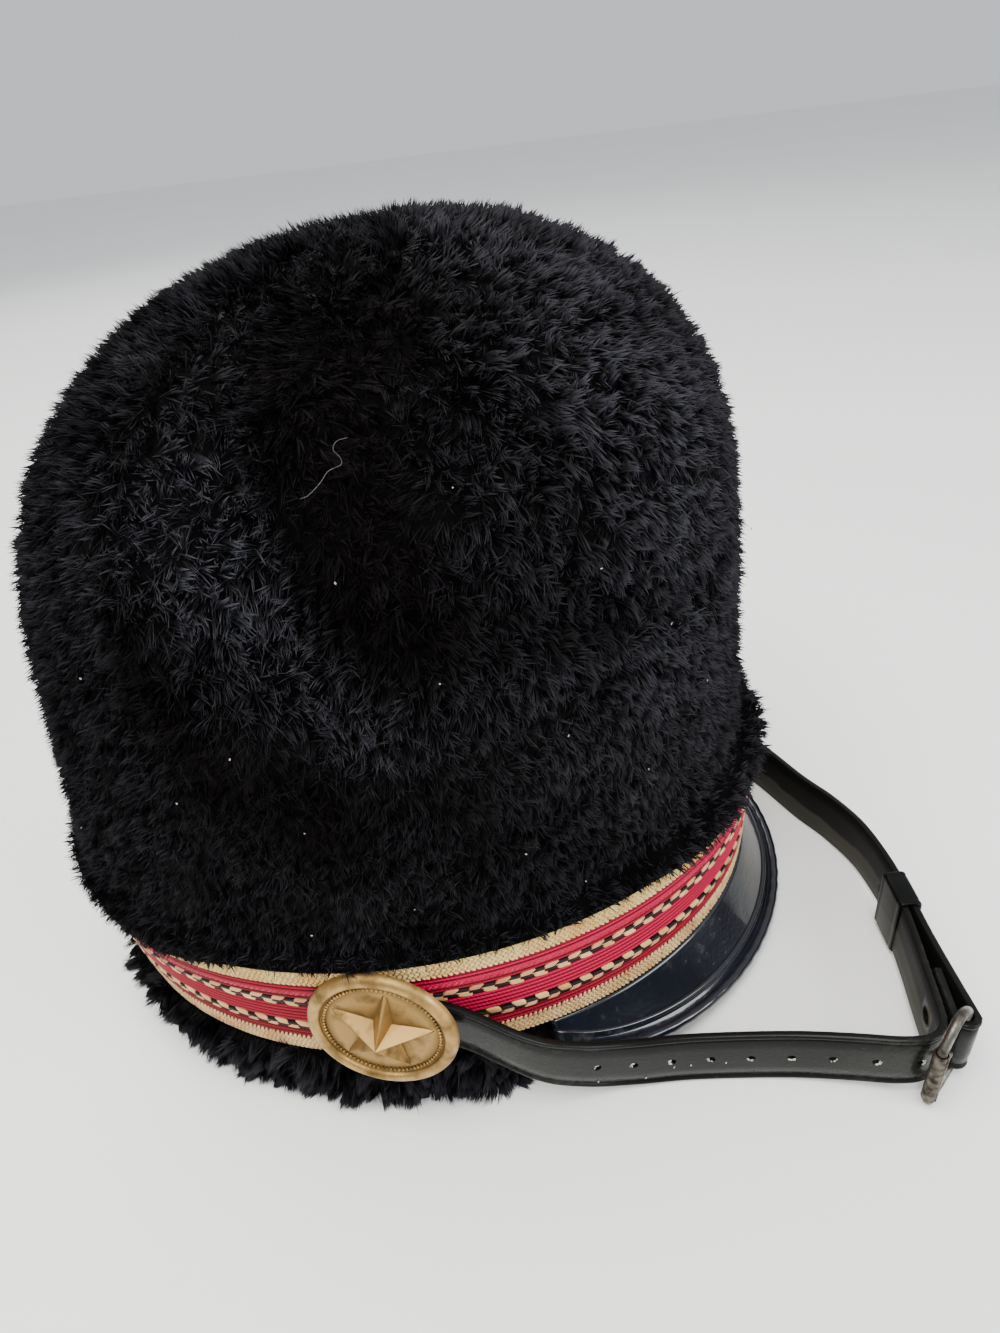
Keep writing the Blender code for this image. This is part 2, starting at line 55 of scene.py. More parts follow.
lens = bpy.data.cameras.new("photo_lens")
lens.lens = 22.956
lens.sensor_width = 36.0
lens.clip_start = 0.01
lens.clip_end = 50.0
camera = stand("photo_camera", lens)
turned = Matrix((CAMERA_RIGHT, CAMERA_UP, CAMERA_BACK)).transposed().to_4x4()
camera.matrix_world = Matrix.Translation(CAMERA_PLACE) @ turned
bpy.context.scene.camera = camera

# The shell is the hat's stiff body: a cloth-faced wall that flares up from the head and closes in a
# full, soft dome. Creases pressed into it carry through the plush that is glued all over its outside.
HAT_MIDDLE = Vector((0.0015659, 0.01855, 0.0))
HAT_LEAN = math.radians(2.0)
BAND_HALF_LENGTH = 0.108
BAND_HALF_WIDTH = 0.088
BAND_LOW = 0.020
BAND_TOP = 0.0618
BAND_FLARE = 0.10
TRIM_DEPTH = 0.0020
WALL = 0.003
CROWN_HEIGHT = 0.2185
SHOULDER_HEIGHT = 0.115
DOME_FULLNESS = 3.6
LENGTH_TAPER = -0.137
WIDTH_SPREAD = 0.11
FORWARD_SLOPE = 0.128
SET_BACK = 0.0025
PAST_BAND_ENDS = -0.0022
PAST_BAND_SIDES = 0.0005
PILE = 0.0040
BACKING = 0.011
CREASE_FADE = 0.029
FRONT_HANG = 0.0045
FRONT_HANG_END = 56.0
BACK_HANG = 0.0065
BACK_HANG_START = 110.0
HANG_FADE = 16.0
EDGE_RISE = 0.0006
EDGE_OUT = 0.0008
FOOT_RISE = 0.0018
FOOT_OUT = 0.0011
LIP_RISE = 0.0026
LIP_SUNK = 0.0004
SHELL_ROWS = 64
SHELL_COLUMNS = 180

# Angle and share of the crown's height, how far each spreads, and its depth as a share of the wall.
CREASES = [
    (108, 0.90, 8, 0.060, 0.55),
    (102, 0.83, 8, 0.060, 0.75),
    (97, 0.75, 8, 0.060, 0.70),
    (91, 0.66, 8, 0.060, 0.50),
    (122, 0.86, 9, 0.080, -0.40),
    (112, 0.75, 8, 0.080, -0.40),
    (102, 0.65, 9, 0.070, -0.30),
    (80, 0.85, 13, 0.100, 0.55),
    (60, 0.69, 12, 0.030, 0.35),
    (42, 0.64, 12, 0.030, 0.30),
    (-75, 0.72, 20, 0.120, 0.25),
    (-150, 0.62, 22, 0.150, 0.15),
]


def put(forward, left, height):
    """A point from its distances ahead of, left of and above the hat's middle."""
    return Vector((left, -forward, height))


def leaned(point):
    """Tips the hat back a little on its rim and sets it where it stands."""
    slope = math.tan(HAT_LEAN)
    lifted = slope * -point.y * min(point.z / BAND_LOW, 1.0)
    return HAT_MIDDLE + Vector((point.x, point.y + slope * point.z, point.z + lifted))


def band_point(angle, height, proud=0.0):
    """A point of the band's face. Angles start at the front and grow to the wearer's right."""
    grown = BAND_FLARE * (height - BAND_LOW) + proud
    turn = math.radians(angle)
    forward = (BAND_HALF_LENGTH + grown) * math.cos(turn)
    left = -(BAND_HALF_WIDTH + grown) * math.sin(turn)
    return put(forward, left, height)


def band_outward(angle):
    turn = math.radians(angle)
    return put(math.cos(turn) / BAND_HALF_LENGTH, -math.sin(turn) / BAND_HALF_WIDTH, 0.0).normalized()


def dome_share(height):
    """How wide the crown is at a height, as a share of its straight side."""
    rise = (height - SHOULDER_HEIGHT) / (CROWN_HEIGHT - SHOULDER_HEIGHT)
    return math.sqrt(max(1.0 - min(max(rise, 0.0), 1.0) ** DOME_FULLNESS, 0.0))


def crown_point(angle, height, proud=0.0):
    """A point of the plush's outer face, or of one that lies proud or inside of it."""
    above = height - BAND_TOP
    base = BAND_FLARE * (BAND_TOP - BAND_LOW)
    half_length = BAND_HALF_LENGTH + base + PAST_BAND_ENDS + LENGTH_TAPER * above
    half_width = BAND_HALF_WIDTH + base + PAST_BAND_SIDES + WIDTH_SPREAD * above
    share = dome_share(height)
    turn = math.radians(angle)
    forward = FORWARD_SLOPE * above - SET_BACK + (half_length * share + proud) * math.cos(turn)
    left = -(half_width * share + proud) * math.sin(turn)
    return put(forward, left, height + proud * (1.0 - share))


def crease_depth(angle, height):
    total = 0.0
    for middle, share, spread, rise, depth in CREASES:
        across = ((angle - middle + 180.0) % 360.0 - 180.0) / spread
        along = (height / CROWN_HEIGHT - share) / rise
        total += depth * BACKING * math.exp(-(across**2) - along**2)
    return total * min(max(height - BAND_TOP, 0.0) / CREASE_FADE, 1.0)


def plush_point(angle, height, proud):
    return leaned(crown_point(angle, height, proud - crease_depth(angle, height)))


def crown_heights(count):
    """Heights at equal steps along the crown's side and dome, from the band to the top."""
    samples = 600
    heights = [BAND_TOP]
    walked = [0.0]
    for i in range(1, samples + 1):
        height = BAND_TOP + (CROWN_HEIGHT - BAND_TOP) * math.sin(math.pi / 2 * i / samples)
        across = (dome_share(heights[-1]) - dome_share(height)) * BAND_HALF_WIDTH
        walked.append(walked[-1] + math.hypot(across, height - heights[-1]))
        heights.append(height)
    chosen = []
    spot = 0
    for row in range(count + 1):
        while walked[spot] < walked[-1] * row / count - 1e-9:
            spot += 1
        chosen.append(heights[spot])
    return chosen


def loft(name, rings, ring_closed=True, route_closed=False, capped=False, marks=None):
    """Joins rings of equal counts with quads. Marks are values for each point of each ring."""
    count = len(rings[0])
    points = [point for ring in rings for point in ring]
    faces = []
    rows = len(rings) if route_closed else len(rings) - 1
    columns = count if ring_closed else count - 1
    for row in range(rows):
        here = row * count
        there = (row + 1) % len(rings) * count
        for i in range(columns):
            j = (i + 1) % count
            faces.append((here + i, here + j, there + j, there + i))
    if capped:
        faces.append(tuple(range(count)))
        faces.append(tuple(range(len(points) - count, len(points))))
    mesh = bpy.data.meshes.new(name)
    mesh.from_pydata(points, [], faces)
    shape = bmesh.new()
    shape.from_mesh(mesh)
    bmesh.ops.recalc_face_normals(shape, faces=shape.faces)
    shape.to_mesh(mesh)
    shape.free()
    for label, values in (marks or {}).items():
        mark = mesh.attributes.new(label, "FLOAT", "POINT")
        mark.data.foreach_set("value", [value for ring in values for value in ring])
    mesh.shade_smooth()
    return stand(name, mesh)


def add(tree, kind, inputs=None, **settings):
    """Adds a node and fills or links its inputs, which are named or counted."""
    made = tree.nodes.new(kind)
    for key, value in settings.items():
        setattr(made, key, value)
    for key, value in (inputs or {}).items():
        if isinstance(value, bpy.types.NodeSocket):
            tree.links.new(value, made.inputs[key])
        else:
            made.inputs[key].default_value = value
    return made


def finish_material(name, roughness, **constants):
    """A new material whose shader has these plain numbers on its own sockets."""
    made = bpy.data.materials.new(name)
    made.use_nodes = True
    shader = made.node_tree.nodes["Principled BSDF"]
    shader.inputs["Roughness"].default_value = roughness
    for label, value in constants.items():
        shader.inputs[label.replace("_", " ")].default_value = value
    return made, made.node_tree, shader


def own_place(tree):
    return add(tree, "ShaderNodeTexCoord").outputs["Object"]


def read_mark(tree, label):
    return add(tree, "ShaderNodeAttribute", attribute_name=label).outputs["Fac"]


def ramp(tree, value, stops):
    """Colours by a value, from stops of place and colour."""
    made = add(tree, "ShaderNodeValToRGB", {0: value})
    for element, (place, colour) in zip(made.color_ramp.elements, (stops[0], stops[-1])):
        element.position = place
        element.color = (*colour, 1.0)
    for place, colour in stops[1:-1]:
        element = made.color_ramp.elements.new(place)
        element.color = (*colour, 1.0)
    return made.outputs["Color"]


def blend(tree, share, first, second, kind="MIX"):
    """Mixes two colours by a share."""
    made = add(tree, "ShaderNodeMix", data_type="RGBA", blend_type=kind)
    for slot, value in ((0, share), (6, first), (7, second)):
        if isinstance(value, bpy.types.NodeSocket):
            tree.links.new(value, made.inputs[slot])
        else:
            made.inputs[slot].default_value = value if slot == 0 else (*value, 1.0)
    return made.outputs[2]


def mottle(tree, scale, detail):
    """Soft clouds in the piece's own coordinates."""
    made = add(tree, "ShaderNodeTexNoise", {"Vector": own_place(tree), "Scale": scale, "Detail": detail})
    return made.outputs[0]


def emboss(tree, shader, height, strength, distance):
    """Gives a shader's face the relief of a value."""
    bump = add(tree, "ShaderNodeBump", {"Strength": strength, "Distance": distance, "Height": height})
    tree.links.new(bump.outputs[0], shader.inputs["Normal"])


def overhang(angle):
    """How far the plush hangs over the upper braid: most at the front and round the back."""
    turned = abs((angle + 180.0) % 360.0 - 180.0)
    front = min(max((FRONT_HANG_END - turned) / HANG_FADE, 0.0), 1.0)
    back = min(max((turned - BACK_HANG_START) / HANG_FADE, 0.0), 1.0)
    return FRONT_HANG * front + BACK_HANG * back


def foot_point(angle, proud):
    """A point of the plush's lower edge, which hangs over the upper braid."""
    return leaned(band_point(angle, BAND_TOP + FOOT_RISE - overhang(angle), proud))


def shell_rings(rows, columns):
    """The shell's inner face from the top down, then its outer face from the rim up."""
    angles = [360.0 * i / columns for i in range(columns)]
    heights = crown_heights(rows)
    rings = [[plush_point(a, h, -BACKING) for a in angles] for h in reversed(heights[1:-1])]
    for inner, outer in ((WALL, False), (0.0, True)):
        steps = [BAND_TOP, 0.04, BAND_LOW, 0.0]
        for height in reversed(steps) if outer else steps:
            proud = -TRIM_DEPTH - inner
            rings.append([leaned(band_point(a, height, proud)) for a in angles])
    rings.append([leaned(band_point(a, BAND_TOP + EDGE_RISE, -TRIM_DEPTH)) for a in angles])
    rings.append([leaned(band_point(a, BAND_TOP + EDGE_RISE, EDGE_OUT)) for a in angles])
    rings.append([foot_point(a, EDGE_OUT) for a in angles])
    rings.append([foot_point(a, FOOT_OUT) for a in angles])
    rings.append([leaned(band_point(a, BAND_TOP + LIP_RISE, -LIP_SUNK)) for a in angles])
    rings.extend([plush_point(a, h, -PILE) for a in angles] for h in heights[2:-1])
    return rings


shell = loft("crown_shell", shell_rings(SHELL_ROWS, SHELL_COLUMNS), capped=True)
cloth, tree, shader = finish_material("crown_cloth", 0.95, Specular_IOR_Level=0.03)
weave = add(tree, "ShaderNodeTexVoronoi", {"Vector": own_place(tree), "Scale": 900.0})
patches = mottle(tree, 60.0, 4.0)
shade = ramp(tree, patches, [(0.3, (0.0006, 0.0005, 0.0006)), (0.7, (0.0022, 0.0018, 0.0021))])
tree.links.new(shade, shader.inputs["Base Color"])
emboss(tree, shader, weave.outputs[0], 0.5, 0.0004)
shell.data.materials.append(cloth)
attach(shell, "root")
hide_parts("crown")

# The plush is long black pile, pressed and brushed by wear into soft locks that hang outwards and down.
# It grows from the shell in four cut panels whose edges meet under the pile.
PANEL_TURN = 90.0
PANEL_SEEDS = (11, 23, 37, 51)
PILE_FOOT_OUT = 0.0012
PILE_LIP_SUNK = 0.0003
BASE_PAINTED_LIGHT = 0.32
WANDER = 2.0
HAIR_UNEVENNESS = 0.2
TUFT_UNEVENNESS = 0.7
TUFT_LENGTH = 0.95
LEAST_HEIGHT = 0.0003

# Angle and share of the crown's height, how far each spreads, and how much lighter the pile is there:
# painted light where the pile's ridges and edges catch the light, and painted shade in the hollows and where
# it lies in shade.
PILE_PAINTED_LIGHT = [
    (112, 0.850, 6, 0.050, 0.50),
    (107, 0.820, 6, 0.050, 0.62),
    (103, 0.785, 6, 0.050, 0.68),
    (99, 0.745, 6, 0.050, 0.60),
    (94, 0.700, 6, 0.045, 0.42),
    (90, 0.660, 6, 0.045, 0.38),
    (86, 0.620, 6, 0.045, 0.30),
    (88, 0.850, 13, 0.100, -0.38),
    (83, 0.740, 8, 0.060, -0.30),
    (86, 0.940, 28, 0.050, -0.25),
    (113, 0.700, 8, 0.060, -0.30),
    (104, 0.620, 10, 0.060, -0.28),
    (94, 0.540, 15, 0.060, -0.28),
    (58, 0.668, 8, 0.012, -0.45),
    (47, 0.655, 8, 0.012, -0.40),
    (42, 0.750, 17, 0.400, 0.50),
    (69, 0.630, 9, 0.050, 0.12),
    (130, 0.750, 16, 0.200, 0.12),
    (0, 0.700, 24, 0.300, 0.15),
    (-70, 0.800, 22, 0.120, 0.30),
    (-120, 0.550, 20, 0.100, -0.25),
    (-165, 0.800, 20, 0.150, 0.20),
]


def strand_shape(name, taper):
    """One hair: a bent blade of two facets whose place along it is its height."""
    points = [(-1, 0, 0), (1, 0, 0), (taper, 0, 0.55), (0, 0, 1)]
    mesh = bpy.data.meshes.new(name)
    mesh.from_pydata(points, [], [(0, 1, 2), (0, 2, 3)])
    return stand(name, mesh)


def new_tree(name, sockets):
    """An empty geometry tree with named inputs, and its first and last nodes."""
    tree = bpy.data.node_groups.new(name, "GeometryNodeTree")
    tree.interface.new_socket(name="Geometry", in_out="INPUT", socket_type="NodeSocketGeometry")
    for label, kind in sockets:
        tree.interface.new_socket(name=label, in_out="INPUT", socket_type="NodeSocket" + kind)
    tree.interface.new_socket(name="Geometry", in_out="OUTPUT", socket_type="NodeSocketGeometry")
    return tree, add(tree, "NodeGroupInput").outputs, add(tree, "NodeGroupOutput").inputs[0]


def vector(tree, operation, first, second=None, scale=None):
    """Vector arithmetic in a tree."""
    given = {0: first, 1: second, "Scale": scale}
    used = {key: value for key, value in given.items() if value is not None}
    made = add(tree, "ShaderNodeVectorMath", used, operation=operation)
    return made.outputs["Value" if operation == "DOT_PRODUCT" else "Vector"]


def number(tree, operation, *terms):
    """Arithmetic in a tree with two or three terms."""
    return add(tree, "ShaderNodeMath", dict(enumerate(terms)), operation=operation).outputs[0]


def keep(tree, geometry, label, value, kind="FLOAT_VECTOR"):
    """Stores a value on each point under a name."""
    made = add(tree, "GeometryNodeStoreNamedAttribute", {"Geometry": geometry, "Name": label}, data_type=kind)
    tree.links.new(value, made.inputs["Value"])
    return made.outputs[0]


def kept(tree, label, kind="FLOAT_VECTOR"):
    made = add(tree, "GeometryNodeInputNamedAttribute", {"Name": label}, data_type=kind)
    return made.outputs["Attribute"]


def random_way(tree, seed):
    """A chance from -1 to 1 along each axis."""
    limits = {0: (-1.0,) * 3, 1: (1.0,) * 3, "Seed": seed}
    return add(tree, "FunctionNodeRandomValue", limits, data_type="FLOAT_VECTOR").outputs[0]


def total(tree, *terms):
    """The sum of several vectors."""
    summed = terms[0]
    for term in terms[1:]:
        summed = vector(tree, "ADD", summed, term)
    return summed


def pile_tree():
    """Hairs scattered over a face that lean, hang and gather in small tufts, each with a way of its own."""
    labels = ("Density", "Length", "Width", "Lift", "Comb", "Droop", "Swirl", "Frizz", "Tuft Size", "Gather")
    sockets = [("Hair", "Object"), *((label, "Float") for label in labels)]
    sockets += [("Seed", "Int"), ("Material", "Material")]
    tree, given, last = new_tree("pile", sockets)
    spread = add(
        tree,
        "GeometryNodeDistributePointsOnFaces",
        {"Mesh": given["Geometry"], "Density": given["Density"], "Seed": given["Seed"]},
    )
    chance = random_way(tree, given["Seed"])
    spots = keep(tree, spread.outputs["Points"], "root", add(tree, "GeometryNodeInputPosition").outputs[0])
    spots = keep(tree, spots, "out", spread.outputs["Normal"])
    spots = keep(tree, spots, "lot", chance)
    hair = add(tree, "GeometryNodeObjectInfo", {"Object": given["Hair"]}).outputs["Geometry"]
    planted = add(tree, "GeometryNodeInstanceOnPoints", {"Points": spots, "Instance": hair})
    real = add(tree, "GeometryNodeRealizeInstances", {0: planted.outputs[0]}).outputs[0]

    root, out, lot = kept(tree, "root"), kept(tree, "out"), kept(tree, "lot")
    local = vector(tree, "SUBTRACT", add(tree, "GeometryNodeInputPosition").outputs[0], root)
    parts = add(tree, "ShaderNodeSeparateXYZ", {0: local}).outputs
    tip = parts["Z"]
    real = keep(tree, real, "tip", tip, "FLOAT")
    chances = add(tree, "ShaderNodeSeparateXYZ", {0: lot}).outputs
    real = keep(tree, real, "tone", chances["X"], "FLOAT")

    tufts_per_metre = number(tree, "DIVIDE", 1.0, given["Tuft Size"])
    tuft = add(tree, "ShaderNodeTexVoronoi", {"Vector": root, "Scale": tufts_per_metre, "Randomness": 1.0})
    tuft_chance = vector(tree, "SUBTRACT", tuft.outputs["Color"], (0.5, 0.5, 0.5))
    down = (0.0, 0.0, -1.0)
    sunk = vector(tree, "SCALE", out, scale=vector(tree, "DOT_PRODUCT", out, down))
    hang = vector(tree, "NORMALIZE", vector(tree, "SUBTRACT", down, sunk))
    patch = add(tree, "ShaderNodeTexNoise", {"Vector": root, "Scale": 60.0, "Detail": 1.0})
    wander = vector(tree, "SUBTRACT", patch.outputs["Color"], (0.5, 0.5, 0.5))
    frizz = vector(tree, "SCALE", lot, scale=given["Frizz"])
    lean = vector(
        tree,
        "NORMALIZE",
        total(
            tree,
            vector(tree, "SCALE", out, scale=given["Lift"]),
            vector(tree, "SCALE", hang, scale=given["Comb"]),
            vector(tree, "SCALE", tuft_chance, scale=given["Swirl"]),
            vector(tree, "SCALE", wander, scale=WANDER),
            frizz,
        ),
    )
    tuft_lot = add(tree, "ShaderNodeSeparateXYZ", {0: tuft_chance}).outputs["X"]
    tuft_length = number(tree, "MULTIPLY_ADD", tuft_lot, TUFT_UNEVENNESS, TUFT_LENGTH)
    uneven = number(tree, "MULTIPLY_ADD", chances["Y"], HAIR_UNEVENNESS, tuft_length)
    full_length = number(tree, "MULTIPLY", given["Length"], uneven)
    long = number(tree, "MULTIPLY", full_length, kept(tree, "reach", "FLOAT"))
    walked = number(tree, "MULTIPLY", long, tip)
    bent = number(tree, "MULTIPLY", walked, tip)
    inwards = vector(tree, "SUBTRACT", tuft.outputs["Position"], root)
    pull = number(tree, "MULTIPLY", number(tree, "MULTIPLY", tip, tip), given["Gather"])
    side = vector(tree, "NORMALIZE", total(tree, vector(tree, "CROSS_PRODUCT", out, lean), frizz))
    wide = number(tree, "MULTIPLY", parts["X"], given["Width"])
    grown = total(
        tree,
        root,
        vector(tree, "SCALE", lean, scale=walked),
        vector(tree, "SCALE", vector(tree, "SCALE", hang, scale=given["Droop"]), scale=bent),
        vector(tree, "SCALE", inwards, scale=pull),
        vector(tree, "SCALE", side, scale=wide),
    )
    above = vector(tree, "MAXIMUM", grown, (-9.0, -9.0, LEAST_HEIGHT))
    moved = add(tree, "GeometryNodeSetPosition", {"Geometry": real, "Position": above}).outputs[0]
    done = add(tree, "GeometryNodeSetMaterial", {"Geometry": moved, "Material": given["Material"]})
    tree.links.new(done.outputs[0], last)
    return tree


def settled(ground, modifier):
    """What a modifier makes of a shape, as a plain mesh; the modifier comes off."""
    shapes = bpy.context.evaluated_depsgraph_get()
    mesh = bpy.data.meshes.new_from_object(
        ground.evaluated_get(shapes), preserve_all_data_layers=True, depsgraph=shapes
    )
    ground.modifiers.remove(modifier)
    return mesh


def grow(name, ground, tree, sizes):
    """Runs a tree over a ground mesh and keeps what it makes as a plain mesh of its own."""
    sockets = {item.name: item.identifier for item in tree.interface.items_tree if item.in_out == "INPUT"}
    growing = ground.modifiers.new(tree.name, "NODES")
    growing.node_group = tree
    for label, value in sizes.items():
        growing[sockets[label]] = value
    mesh = settled(ground, growing)
    mesh.name = name
    for label in ("root", "out", "lot", "reach"):
        if label in mesh.attributes:
            mesh.attributes.remove(mesh.attributes[label])
    return stand(name, mesh)


def drop(*helpers):
    """Takes away the shapes that only guided others."""
    for helper in helpers:
        bpy.data.objects.remove(helper, do_unlink=True)


def ranged(tree, value, low=0.0, high=1.0, first=0.0, last=1.0):
    """Carries a value from one range over to another."""
    return add(tree, "ShaderNodeMapRange", {0: value, 1: low, 2: high, 3: first, 4: last}).outputs[0]


def pile_material():
    """Black pile with painted light and shade: near-black painted shade at each hair's root, a lighter
    painted highlight at its tip, and the shade mark blends brown-black painted shade into blue-grey painted
    sheen.
    """
    made, tree, shader = finish_material("plush_pile", 0.6, Specular_IOR_Level=0.05)
    root_painted_shade = (0.0006, 0.0005, 0.0006)
    # Painted shade: brown-black pile, darkest at each hair's root.
    painted_shade_pile = ramp(tree, read_mark(tree, "tip"), [(0.0, root_painted_shade), (1.0, (0.0042, 0.0024, 0.0026))])
    # Painted sheen: lighter blue-grey tips, as a painted highlight.
    painted_sheen_pile = ramp(
        tree,
        read_mark(tree, "tip"),
        [(0.0, root_painted_shade), (0.45, (0.0090, 0.0090, 0.0108)), (1.0, (0.068, 0.067, 0.082))],
    )
    # The shade mark sets how much painted sheen the pile gets; noise patches vary it at random.
    patched = ranged(tree, mottle(tree, 55.0, 3.0), 0.3, 0.7, -0.14, 0.14)
    share = number(tree, "ADD", read_mark(tree, "shade"), patched)
    colour = blend(tree, share, painted_shade_pile, painted_sheen_pile)
    tone = ranged(tree, read_mark(tree, "tone"), 0.6, 1.0, 0.0, 0.4)
    tree.links.new(blend(tree, tone, colour, (0.012, 0.008, 0.008)), shader.inputs["Base Color"])
    return made


# Painted light and shade over the crown: how light the pile is drawn at an angle and height.
def painted_pile_light(angle, height):
    tone = BASE_PAINTED_LIGHT
    for middle, share, spread, rise, lighter in PILE_PAINTED_LIGHT:
        across = ((angle - middle + 180.0) % 360.0 - 180.0) / spread
        along = (height / CROWN_HEIGHT - share) / rise
        tone += lighter * math.exp(-(across**2) - along**2)
    return min(max(tone, 0.0), 1.0)


def face_outwards(ground, middle):
    """Turns a ground's faces so that they look away from a point."""
    if sum(face.normal.dot(face.center - middle) for face in ground.data.polygons) < 0:
        ground.data.flip_normals()


def plush_ground(name, first, last, columns, rows):
    """The face that one panel of pile grows from, turned under at its foot."""
    angles = [first + (last - first) * i / columns for i in range(columns + 1)]
    heights = crown_heights(rows)[2:]
    foot = [foot_point(a, PILE_FOOT_OUT) for a in angles]
    lip = [leaned(band_point(a, BAND_TOP + LIP_RISE, -PILE_LIP_SUNK)) for a in angles]
    rings = [foot, lip] + [[plush_point(a, h, -PILE) for a in angles] for h in heights]
    reach = [[0.60] * len(angles), [0.90] * len(angles)] + [[1.0] * len(angles)] * len(heights)
    # The shade mark carries the crown's painted light and shade to the hairs.
    shade = [[painted_pile_light(a, h) for a in angles] for h in [BAND_TOP, BAND_TOP, *heights]]
    ground = loft(name, rings, ring_closed=False, marks={"reach": reach, "shade": shade})
    face_outwards(ground, Vector((0.0, 0.0, 0.1)))
    return ground


pile = pile_tree()
pile_finish = pile_material()
hair = strand_shape("hair", 0.7)
for number_of_panel, seed in enumerate(PANEL_SEEDS):
    start = PANEL_TURN * number_of_panel
    ground = plush_ground("panel_ground", start, start + PANEL_TURN, 60, 90)
    panel = grow(
        f"crown_pile_{number_of_panel + 1}",
        ground,
        pile,
        {
            "Hair": hair,
            "Density": 2.50e6,
            "Length": 0.0038,
            "Width": 0.00016,
            "Lift": 0.65,
            "Comb": 0.35,
            "Droop": 0.30,
            "Swirl": 1.7,
            "Frizz": 0.36,
            "Tuft Size": 0.0019,
            "Gather": 0.55,
            "Seed": seed,
            "Material": pile_finish,
        },
    )
    drop(ground)
    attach(panel, "root")

# The hem is the plush's lower edge, left long below the band from one end of the peak to the other.
# Its backing is a strip of the same cloth, and its hairs splay in pointed tufts down to the surface.
HEM_START = 71.2
HEM_BULGE = 0.0015
HEM_SPLAY = 0.0010
UNDER_BAND = BAND_LOW - 0.0006
HEM_BACK = -0.0017
HEM_FACE = 0.0003
HEM_SUNK = 0.0007
HEM_TAPER_STEPS = 8
HEM_STEPS = 160


def hem_outline(swell):
    """The strip's section, from under the band down its back and up its face."""
    return [
        (HEM_BACK, UNDER_BAND),
        (HEM_BACK, 0.0),
        (HEM_FACE + 0.5 * HEM_SPLAY * swell, 0.0),
        (HEM_FACE + HEM_SPLAY * swell, 0.15 * UNDER_BAND),
        (HEM_FACE + HEM_BULGE * swell, 0.55 * UNDER_BAND),
        (HEM_FACE + 0.3 * HEM_BULGE * swell, UNDER_BAND),
        (HEM_FACE + 0.0001, BAND_LOW - 0.0002),
    ]


def hem_ring(angle, swell, face_only=False):
    ring = []
    for proud, height in hem_outline(swell)[3 if face_only else 0 :]:
        flare = 0.0 if proud < 0.0 else BAND_FLARE * (height - BAND_LOW)
        sunk = 0.0 if face_only or proud < 0.0 else HEM_SUNK
        ring.append(leaned(band_point(angle, height, proud - flare - sunk)))
    return ring


def hem_rings(steps, face_only=False):
    rings = []
    for i in range(steps + 1):
        angle = HEM_START + (360.0 - 2 * HEM_START) * i / steps
        swell = min(i, steps - i, HEM_TAPER_STEPS) / HEM_TAPER_STEPS
        rings.append(hem_ring(angle, swell, face_only))
    return rings


hem = loft("hem_backing", hem_rings(HEM_STEPS), capped=True)
hem.data.materials.append(cloth)
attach(hem, "root")
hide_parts("fur_hem")

face_rings = hem_rings(HEM_STEPS, True)
full = [[1.0] * len(face_rings[0])] * len(face_rings)
# The hem's pile gets one even level of the painted light and shade.
hem_painted_light = [[0.40] * len(face_rings[0])] * len(face_rings)
hem_ground = loft("hem_ground", face_rings, ring_closed=False, marks={"reach": full, "shade": hem_painted_light})
face_outwards(hem_ground, Vector())
hem_fur = grow(
    "hem_pile",
    hem_ground,
    pile,
    {
        "Hair": hair,
        "Density": 7.4e6,
        "Length": 0.0054,
        "Width": 0.00018,
        "Lift": 0.62,
        "Comb": 0.55,
        "Droop": 0.45,
        "Swirl": 1.3,
        "Frizz": 0.20,
        "Tuft Size": 0.0036,
        "Gather": 0.80,
        "Seed": 71,
        "Material": pile_finish,
    },
)
drop(hem_ground, hair)
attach(hem_fur, "root")

# Three woven strips are sewn round the hat: a knitted gold braid at the top and at the bottom, and
# between them a corded crimson ribbon whose two rows of gold and black floats run all the way round.
RIBBON_LOW = 0.0258
RIBBON_HIGH = 0.0550
TRIM_BACK = -0.0017
RIBBON_FACE = -0.0006
RIB_DEPTH = 0.00045
FLOAT_ROW_HIGH = 0.0459
FLOAT_ROW_LOW = 0.0331
FLOAT_COUNT = 94
RIBBON_LENGTH = 0.625
RIBBON_STEPS = 220
FLOAT_OUT = RIBBON_FACE + 0.00018
STITCHED_CORD = 0.0505
STITCHED_CORD_LOW = 0.0488
STITCHED_CORD_RISE = 0.0034
CORD_PITCH = 0.00170
FINE_CORD_PITCH = 0.00142
FLOAT_BED_HIGH = 0.0021
FLOAT_BED_LOW = 0.0022


def trim_loft(name, outline, steps):
    """A strip round the band from the outline of its section, marked with height and length."""
    rings, heights, lengths = [], [], []
    walked = 0.0
    for i in range(steps):
        angle = 360.0 * i / steps
        ring = [leaned(band_point(angle, height, out)) for out, height in outline]
        if rings:
            walked += (ring[0] - rings[-1][0]).length
        rings.append(ring)
        heights.append([height for _, height in outline])
        lengths.append([walked] * len(outline))
    return loft(name, rings, route_closed=True, marks={"height": heights, "along": lengths})


def rib_relief(height):
    """How far the ribbon's cords stand out at a height; the float rows lie flat between them."""
    if abs(height - FLOAT_ROW_HIGH) < FLOAT_BED_HIGH or abs(height - FLOAT_ROW_LOW) < FLOAT_BED_LOW:
        return 0.15 * RIB_DEPTH
    share = (height - STITCHED_CORD_LOW) / STITCHED_CORD_RISE
    if 0.0 < share < 1.0:
        return RIB_DEPTH * min(1.6 * math.sin(math.pi * share), 1.0)
    pitch = FINE_CORD_PITCH if share >= 1.0 else CORD_PITCH
    return RIB_DEPTH * abs(math.sin(math.pi * (height - FLOAT_ROW_LOW - FLOAT_BED_LOW) / pitch))


